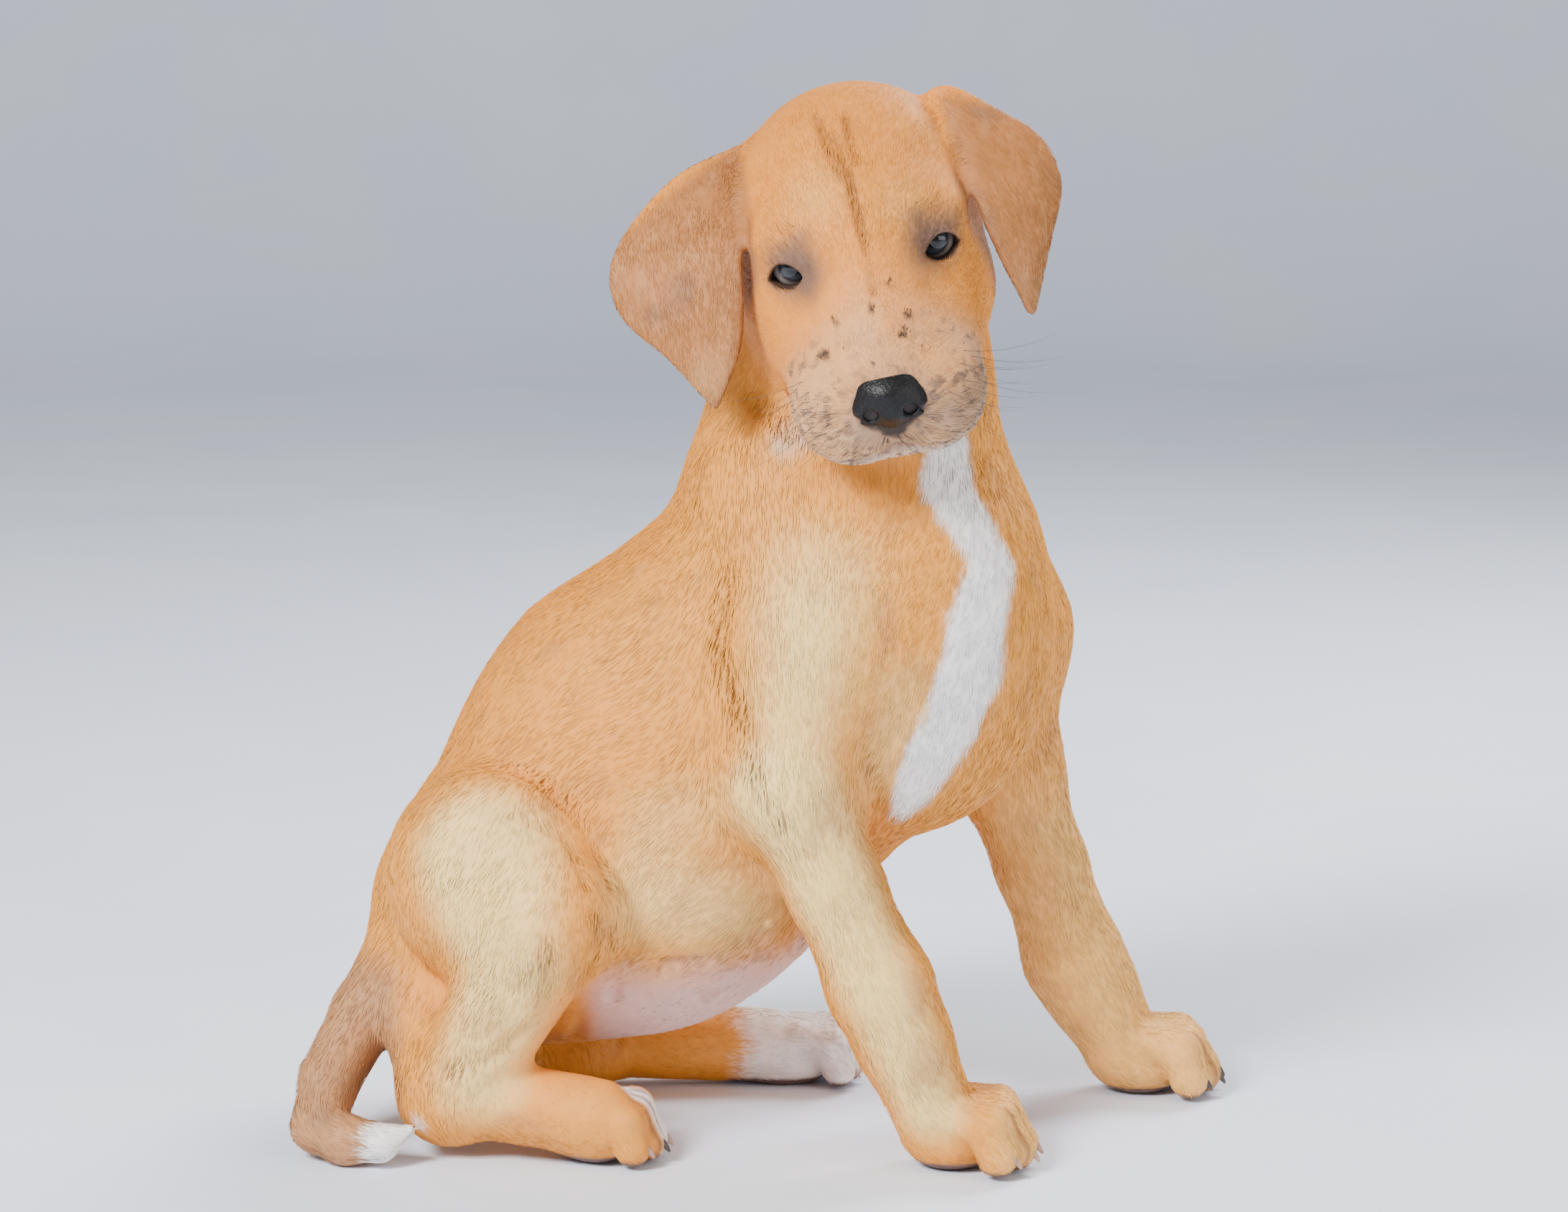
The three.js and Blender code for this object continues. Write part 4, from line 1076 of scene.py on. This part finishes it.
def build_eyes():
    """Eyeballs: spheres with a slightly raised front, each point storing its angle from the gaze."""
    material = eye_material()
    rows, columns = 40, 56
    for name, side in SIDES:
        forward = unit(CAMERA_PLACE - EYE[name])
        left = unit(HEAD.left - forward * (HEAD.left @ forward))
        up = np.cross(forward, left)
        angle = np.linspace(0, np.pi, rows + 1)[1:-1]
        turn = np.linspace(0, 2 * np.pi, columns, endpoint=False)
        t, s = np.meshgrid(angle, turn, indexing="ij")
        t, s = t.ravel(), s.ravel()
        way = (np.cos(t)[:, None] * forward + (np.sin(t) * np.cos(s))[:, None] * left
               + (np.sin(t) * np.sin(s))[:, None] * up)
        way = np.vstack([way, forward, -forward])
        t = np.append(t, [0, np.pi])
        radius = EYE_RADIUS * (1 + 0.03 * np.exp(-((t / 0.5) ** 2)))
        i, j = np.meshgrid(np.arange(rows - 2), np.arange(columns), indexing="ij")
        i, j = i.ravel(), j.ravel()
        k = (j + 1) % columns
        quads = np.stack([i * columns + j, (i + 1) * columns + j, (i + 1) * columns + k, i * columns + k], 1)
        first, last = (rows - 1) * columns, (rows - 1) * columns + 1
        j = np.arange(columns)
        k = (j + 1) % columns
        rim = (rows - 2) * columns
        caps = np.concatenate([np.stack([np.full(columns, first), j, k], 1),
                               np.stack([np.full(columns, last), rim + k, rim + j], 1)])
        faces = np.concatenate([quads[:, [0, 1, 2]], quads[:, [0, 2, 3]], caps])
        obj = mesh_object(f"eyeball_{name}", EYE[name] + way * radius[:, None], faces)
        set_value(obj, "gaze", t)
        obj.data.materials.append(material)
        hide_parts(f"eye_{name}")
        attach(obj, "root")


def nose_field(p):
    """Field of the nose leather: a rounded pad with a nostril each side, each with a slit, and a groove."""
    pad = Egg(HEAD, [62, 1, -20.5], [20.5, 16, 12])(p)
    pad = smooth_min(pad, Egg(HEAD, [66, 0, -13.5], [13, 13, 6])(p), 5)
    for _, side in SIDES:
        pad = smooth_min(pad, Egg(HEAD, [71, side * 10, -21.5], [9, 6.3, 7])(p), 4)
    pad = smooth_min(pad, Egg(HEAD, [69, 0, -27], [9, 9, 7])(p), 4)
    cuts = [(Rod(HEAD.at(86, 0, -18), HEAD.at(79, 0, -36), 0.7), 1.6)]
    for _, side in SIDES:
        cuts.append((Rod(HEAD.at(92, side * 6.8, -19), HEAD.at(70, side * 9.5, -22), 3.3, 2.6), 1.8))
        cuts.append((Rod(HEAD.at(86, side * 9, -22), HEAD.at(70, side * 18, -24), 1.5, 1.1), 1.4))
    for cut, k in cuts:
        pad = -smooth_min(-pad, cut(p), k)
    return pad


def build_nose():
    """The nose leather from its own field on a fine grid."""
    step = 0.75
    centre = HEAD.at(70, 0, -19)
    axes = [np.arange(c - 26, c + 26, step) for c in centre]
    grid = np.stack(np.meshgrid(*axes, indexing="ij"), -1)
    values = nose_field(grid.reshape(-1, 3)).reshape(grid.shape[:3])
    points, quads = nets(values, axes)
    points = settle(points, nose_field, rounds=2, most=0.3)
    obj = mesh_object("nose_leather", points, quads)
    obj.data.materials.append(nose_material())
    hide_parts("nose")
    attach(obj, "root")


def tubes(starts, ends, sag, root_radius, tip_radius, rings, sides, power=1.0):
    """Tapering rods from starts to ends, bowed by sag, as one set of points and triangles."""
    starts, ends, sag = (np.asarray(x, float) for x in (starts, ends, sag))
    count = len(starts)
    t = np.linspace(0, 1, rings + 1)
    centre = (starts[:, None] + (ends - starts)[:, None] * t[None, :, None]
              + sag[:, None] * (4 * t * (1 - t))[None, :, None])
    along = unit(ends - starts)
    side = unit(np.cross(along, np.where(np.abs(along[:, 2:]) > 0.9, [[1.0, 0, 0]], [[0, 0, 1.0]])))
    up = np.cross(side, along)
    radius = (root_radius * (1 - t**power) + tip_radius * t**power)[None]
    turn = np.linspace(0, 2 * np.pi, sides, endpoint=False)
    ring = np.cos(turn)[None, :, None] * side[:, None] + np.sin(turn)[None, :, None] * up[:, None]
    points = centre[:, :, None] + radius[:, :, None, None] * ring[:, None]
    points = points.reshape(count, -1, 3)
    points = np.concatenate([points, starts[:, None], ends[:, None]], 1)
    i, j = (x.ravel() for x in np.meshgrid(np.arange(rings), np.arange(sides), indexing="ij"))
    k = (j + 1) % sides
    a, b, c, d = i * sides + j, i * sides + k, (i + 1) * sides + k, (i + 1) * sides + j
    j = np.arange(sides)
    k = (j + 1) % sides
    base, tip, last = (rings + 1) * sides, (rings + 1) * sides + 1, rings * sides
    faces = np.concatenate([
        np.stack([a, b, c], 1), np.stack([a, c, d], 1),
        np.stack([np.full(sides, base), k, j], 1), np.stack([np.full(sides, tip), last + j, last + k], 1)])
    each = points.shape[1]
    faces = (faces[None] + each * np.arange(count)[:, None, None]).reshape(-1, 3)
    return points.reshape(-1, 3), faces, each


def build_claws():
    """Sixteen short claws, each a tapering horn bowed down from its toe."""
    starts, ends, shade = [], [], []
    for name, (place, size) in PAWS.items():
        for n, index in enumerate(TOES):
            toe = toe_line(size, index)
            x, y, z = toe["tip"]
            starts.append(place.at(x + size["toe"] * 0.3, y, z + 1.5))
            ends.append(starts[-1] + 0.8 * (place.at(*toe["claw"]) - starts[-1]))
            dark = name == "fore_left" or (name == "hind_right" and n == 1)
            shade.append(linear((62, 52, 46)) if dark else linear((176, 140, 122)))
    points, faces, each = tubes(starts, ends, np.tile([0, 0, 1.4], (16, 1)), 2.3, 0.6, 12, 12, 2.0)
    obj = mesh_object("claws", points, faces)
    colour = np.repeat(np.array(shade), each, 0)
    set_tint(obj, colour)
    material = coat_material("claw horn", 500.0, 0.4, 0.1, 0.0002, Roughness=0.32, Coat_Weight=0.3)
    obj.data.materials.append(material)
    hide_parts(*[f"claw_{paw}_{n}" for paw in PAWS for n in range(1, 5)])
    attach(obj, "root")


def build_whiskers():
    """Whiskers in rows on both sides of the muzzle, and a few hairs over the eyes."""
    random = np.random.default_rng(5)
    starts, ways, lengths = [], [], []
    for _, side in SIDES:
        for row in range(3):
            for n in range(4):
                spot = HEAD.at(70 - n * 6 - row, side * (24 + n * 2.2), -22 - row * 5 + n)
                starts.append(spot)
                way = HEAD.left * side + HEAD.forward * (0.45 - 0.16 * n) - HEAD.up * (0.15 + 0.12 * row)
                ways.append(unit(way + random.normal(0, 0.1, 3)))
                lengths.append(random.uniform(20, 40))
        for n in range(3):
            starts.append(HEAD.at(2, side * (24 + 4 * n), 24))
            way = HEAD.up + HEAD.forward * 0.7 + HEAD.left * side * 0.4
            ways.append(unit(way + random.normal(0, 0.12, 3)))
            lengths.append(random.uniform(10, 18))
    starts = settle(np.array(starts), rounds=4, most=6)
    ways, lengths = np.array(ways), np.array(lengths)
    ends = starts + ways * lengths[:, None]
    sag = np.tile([0, 0, -1.0], (len(starts), 1)) * (lengths * 0.07)[:, None]
    points, faces, _ = tubes(starts - ways, ends, sag, 0.13, 0.03, 8, 5)
    obj = mesh_object("whiskers", points, faces)
    set_tint(obj, np.tile(linear((60, 46, 40)), (len(points), 1)))
    obj.data.materials.append(coat_material("whisker", 300.0, 0.3, 0.0, 0.0, Roughness=0.4))
    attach(obj, "root")


# Stage


def build_stage(shades):
    """Pale floor rising into a soft mottled backdrop, studio lights and the camera."""
    across, along = 40, 60
    x = np.linspace(-2.6, 2.6, across)
    t = np.linspace(0, 1, along)
    bend = np.clip((t - 0.45) / 0.2, 0, 1) * np.pi / 2
    run = np.where(t < 0.45, t / 0.45 * 6.0 - 2.6, 3.4 + 0.6 * np.sin(bend))
    rise = np.where(t < 0.45, 0, 0.6 * (1 - np.cos(bend)) + np.clip(t - 0.65, 0, 1) * 7)
    gx, gt = np.meshgrid(x, np.arange(along), indexing="ij")
    points = np.stack([gx.ravel(), run[gt.ravel()], rise[gt.ravel()]], 1) * 1000 - SHIFT
    i, j = (v.ravel() for v in np.meshgrid(np.arange(across - 1), np.arange(along - 1), indexing="ij"))
    quads = np.stack([i * along + j, (i + 1) * along + j, (i + 1) * along + j + 1, i * along + j + 1], 1)
    floor = mesh_object("floor", points, quads)
    material, nodes, links, shader = new_material("studio cloth", Roughness=0.9)
    place = nodes.new("ShaderNodeTexCoord")
    cloud = nodes.new("ShaderNodeTexNoise")
    cloud.inputs["Scale"].default_value = 4.0
    cloud.inputs["Detail"].default_value = 6.0
    links.new(place.outputs["Object"], cloud.inputs["Vector"])
    ramp = nodes.new("ShaderNodeValToRGB")
    ramp.color_ramp.elements[0].position = 0.3
    ramp.color_ramp.elements[1].position = 0.7
    ramp.color_ramp.elements[0].color = (*shades.backdrop_dark, 1)
    ramp.color_ramp.elements[1].color = (*shades.backdrop_pale, 1)
    links.new(cloud.outputs["Fac"], ramp.inputs["Fac"])
    links.new(ramp.outputs["Color"], shader.inputs["Base Color"])
    floor.data.materials.append(material)
    for name, spot, size, power in (
        ("key", (-1.3, -1.6, 1.7), 0.8, shades.key_power),
        ("fill", (1.7, -1.3, 0.9), 1.4, shades.key_power * 0.18),
        ("rim", (0.9, 1.1, 1.5), 0.9, shades.key_power * 0.35),
    ):
        light = bpy.data.lights.new(name, "AREA")
        light.size = size
        light.energy = power
        lamp = bpy.data.objects.new(name, light)
        lamp.location = spot
        aim = np.array([0, 0, 0.2]) - np.array(spot)
        tilt = math.pi / 2 + math.asin(aim[2] / np.linalg.norm(aim))
        lamp.rotation_euler = (tilt, 0, math.atan2(aim[1], aim[0]) - math.pi / 2)
        bpy.context.scene.collection.objects.link(lamp)
    world = bpy.data.worlds.new("studio")
    world.use_nodes = True
    world.node_tree.nodes["Background"].inputs["Color"].default_value = (1.0, 0.98, 0.96, 1)
    world.node_tree.nodes["Background"].inputs["Strength"].default_value = shades.sky
    bpy.context.scene.world = world
    camera = bpy.data.cameras.new("camera")
    camera.sensor_width = 36
    camera.lens = shades.lens
    eye = bpy.data.objects.new("camera", camera)
    eye.location = (CAMERA_PLACE + SHIFT) * 0.001
    eye.rotation_euler = (math.radians(90 - CAMERA_PITCH), 0, 0)
    bpy.context.scene.collection.objects.link(eye)
    bpy.context.scene.camera = eye


# The add-on


class PUPPY_PG_studio(bpy.types.PropertyGroup):
    """Light, backdrop and lens."""

    key_power: bpy.props.FloatProperty(name="Key light", description="Power of the main light",
                                       default=116.0, unit="POWER")
    sky: bpy.props.FloatProperty(name="Sky", description="Strength of the even light", default=0.42)
    lens: bpy.props.FloatProperty(name="Lens", description="Focal length in millimetres", default=98.5)
    backdrop_pale: bpy.props.FloatVectorProperty(name="Pale cloth", description="Lighter tint of the cloth",
                                                 subtype="COLOR", default=(0.84, 0.90, 1.0))
    backdrop_dark: bpy.props.FloatVectorProperty(name="Dark cloth", description="Darker tint of the cloth",
                                                 subtype="COLOR", default=(0.78, 0.84, 1.0))


class PUPPY_PG_coat(bpy.types.PropertyGroup):
    """How many meshes the coat is laid in."""

    pieces: bpy.props.IntProperty(name="Coat pieces", description="Number of coat meshes",
                                  default=7, min=1, max=7)


class PieceOperator:
    """Shared run of a piece's builder."""

    bl_options = {"REGISTER", "UNDO"}

    def execute(self, context):
        self.build(context.scene)
        return {"FINISHED"}


class PUPPY_OT_skin(PieceOperator, bpy.types.Operator):
    """Builds the one skin of the body"""

    bl_idname = "puppy.skin"
    bl_label = "Skin"

    def build(self, scene):
        build_skin()


class PUPPY_OT_coat(PieceOperator, bpy.types.Operator):
    """Builds the tufts of the coat"""

    bl_idname = "puppy.coat"
    bl_label = "Coat"

    def build(self, scene):
        build_coat(scene.puppy_coat.pieces)


class PUPPY_OT_face(PieceOperator, bpy.types.Operator):
    """Builds the eyes, the nose and the whiskers"""

    bl_idname = "puppy.face"
    bl_label = "Face"

    def build(self, scene):
        build_eyes()
        build_nose()
        build_whiskers()


class PUPPY_OT_claws(PieceOperator, bpy.types.Operator):
    """Builds the claws"""

    bl_idname = "puppy.claws"
    bl_label = "Claws"

    def build(self, scene):
        build_claws()


class PUPPY_OT_stage(PieceOperator, bpy.types.Operator):
    """Builds the floor, backdrop, lights and camera"""

    bl_idname = "puppy.stage"
    bl_label = "Stage"

    def build(self, scene):
        build_stage(scene.puppy_studio)


class PUPPY_PT_panel(bpy.types.Panel):
    """The puppy's controls in the sidebar"""

    bl_idname = "PUPPY_PT_panel"
    bl_label = "Great dane puppy"
    bl_space_type = "VIEW_3D"
    bl_region_type = "UI"
    bl_category = "Puppy"

    def draw(self, context):
        for group in (context.scene.puppy_studio, context.scene.puppy_coat):
            for name in group.__annotations__:
                self.layout.prop(group, name)
        for operator in OPERATORS:
            self.layout.operator(operator.bl_idname)


OPERATORS = (PUPPY_OT_skin, PUPPY_OT_coat, PUPPY_OT_face, PUPPY_OT_claws, PUPPY_OT_stage)
CLASSES = (PUPPY_PG_studio, PUPPY_PG_coat, *OPERATORS, PUPPY_PT_panel)


def register():
    """Registers the classes and the scene's property groups."""
    for cls in CLASSES:
        bpy.utils.register_class(cls)
    bpy.types.Scene.puppy_studio = bpy.props.PointerProperty(type=PUPPY_PG_studio)
    bpy.types.Scene.puppy_coat = bpy.props.PointerProperty(type=PUPPY_PG_coat)


def unregister():
    """Removes what register added."""
    del bpy.types.Scene.puppy_coat
    del bpy.types.Scene.puppy_studio
    for cls in reversed(CLASSES):
        bpy.utils.unregister_class(cls)


def main():
    """Builds every piece and the stage."""
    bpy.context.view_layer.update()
    register()
    bpy.ops.puppy.skin()
    bpy.ops.puppy.coat()
    bpy.ops.puppy.face()
    bpy.ops.puppy.claws()
    bpy.ops.puppy.stage()


if __name__ == "__main__":
    main()
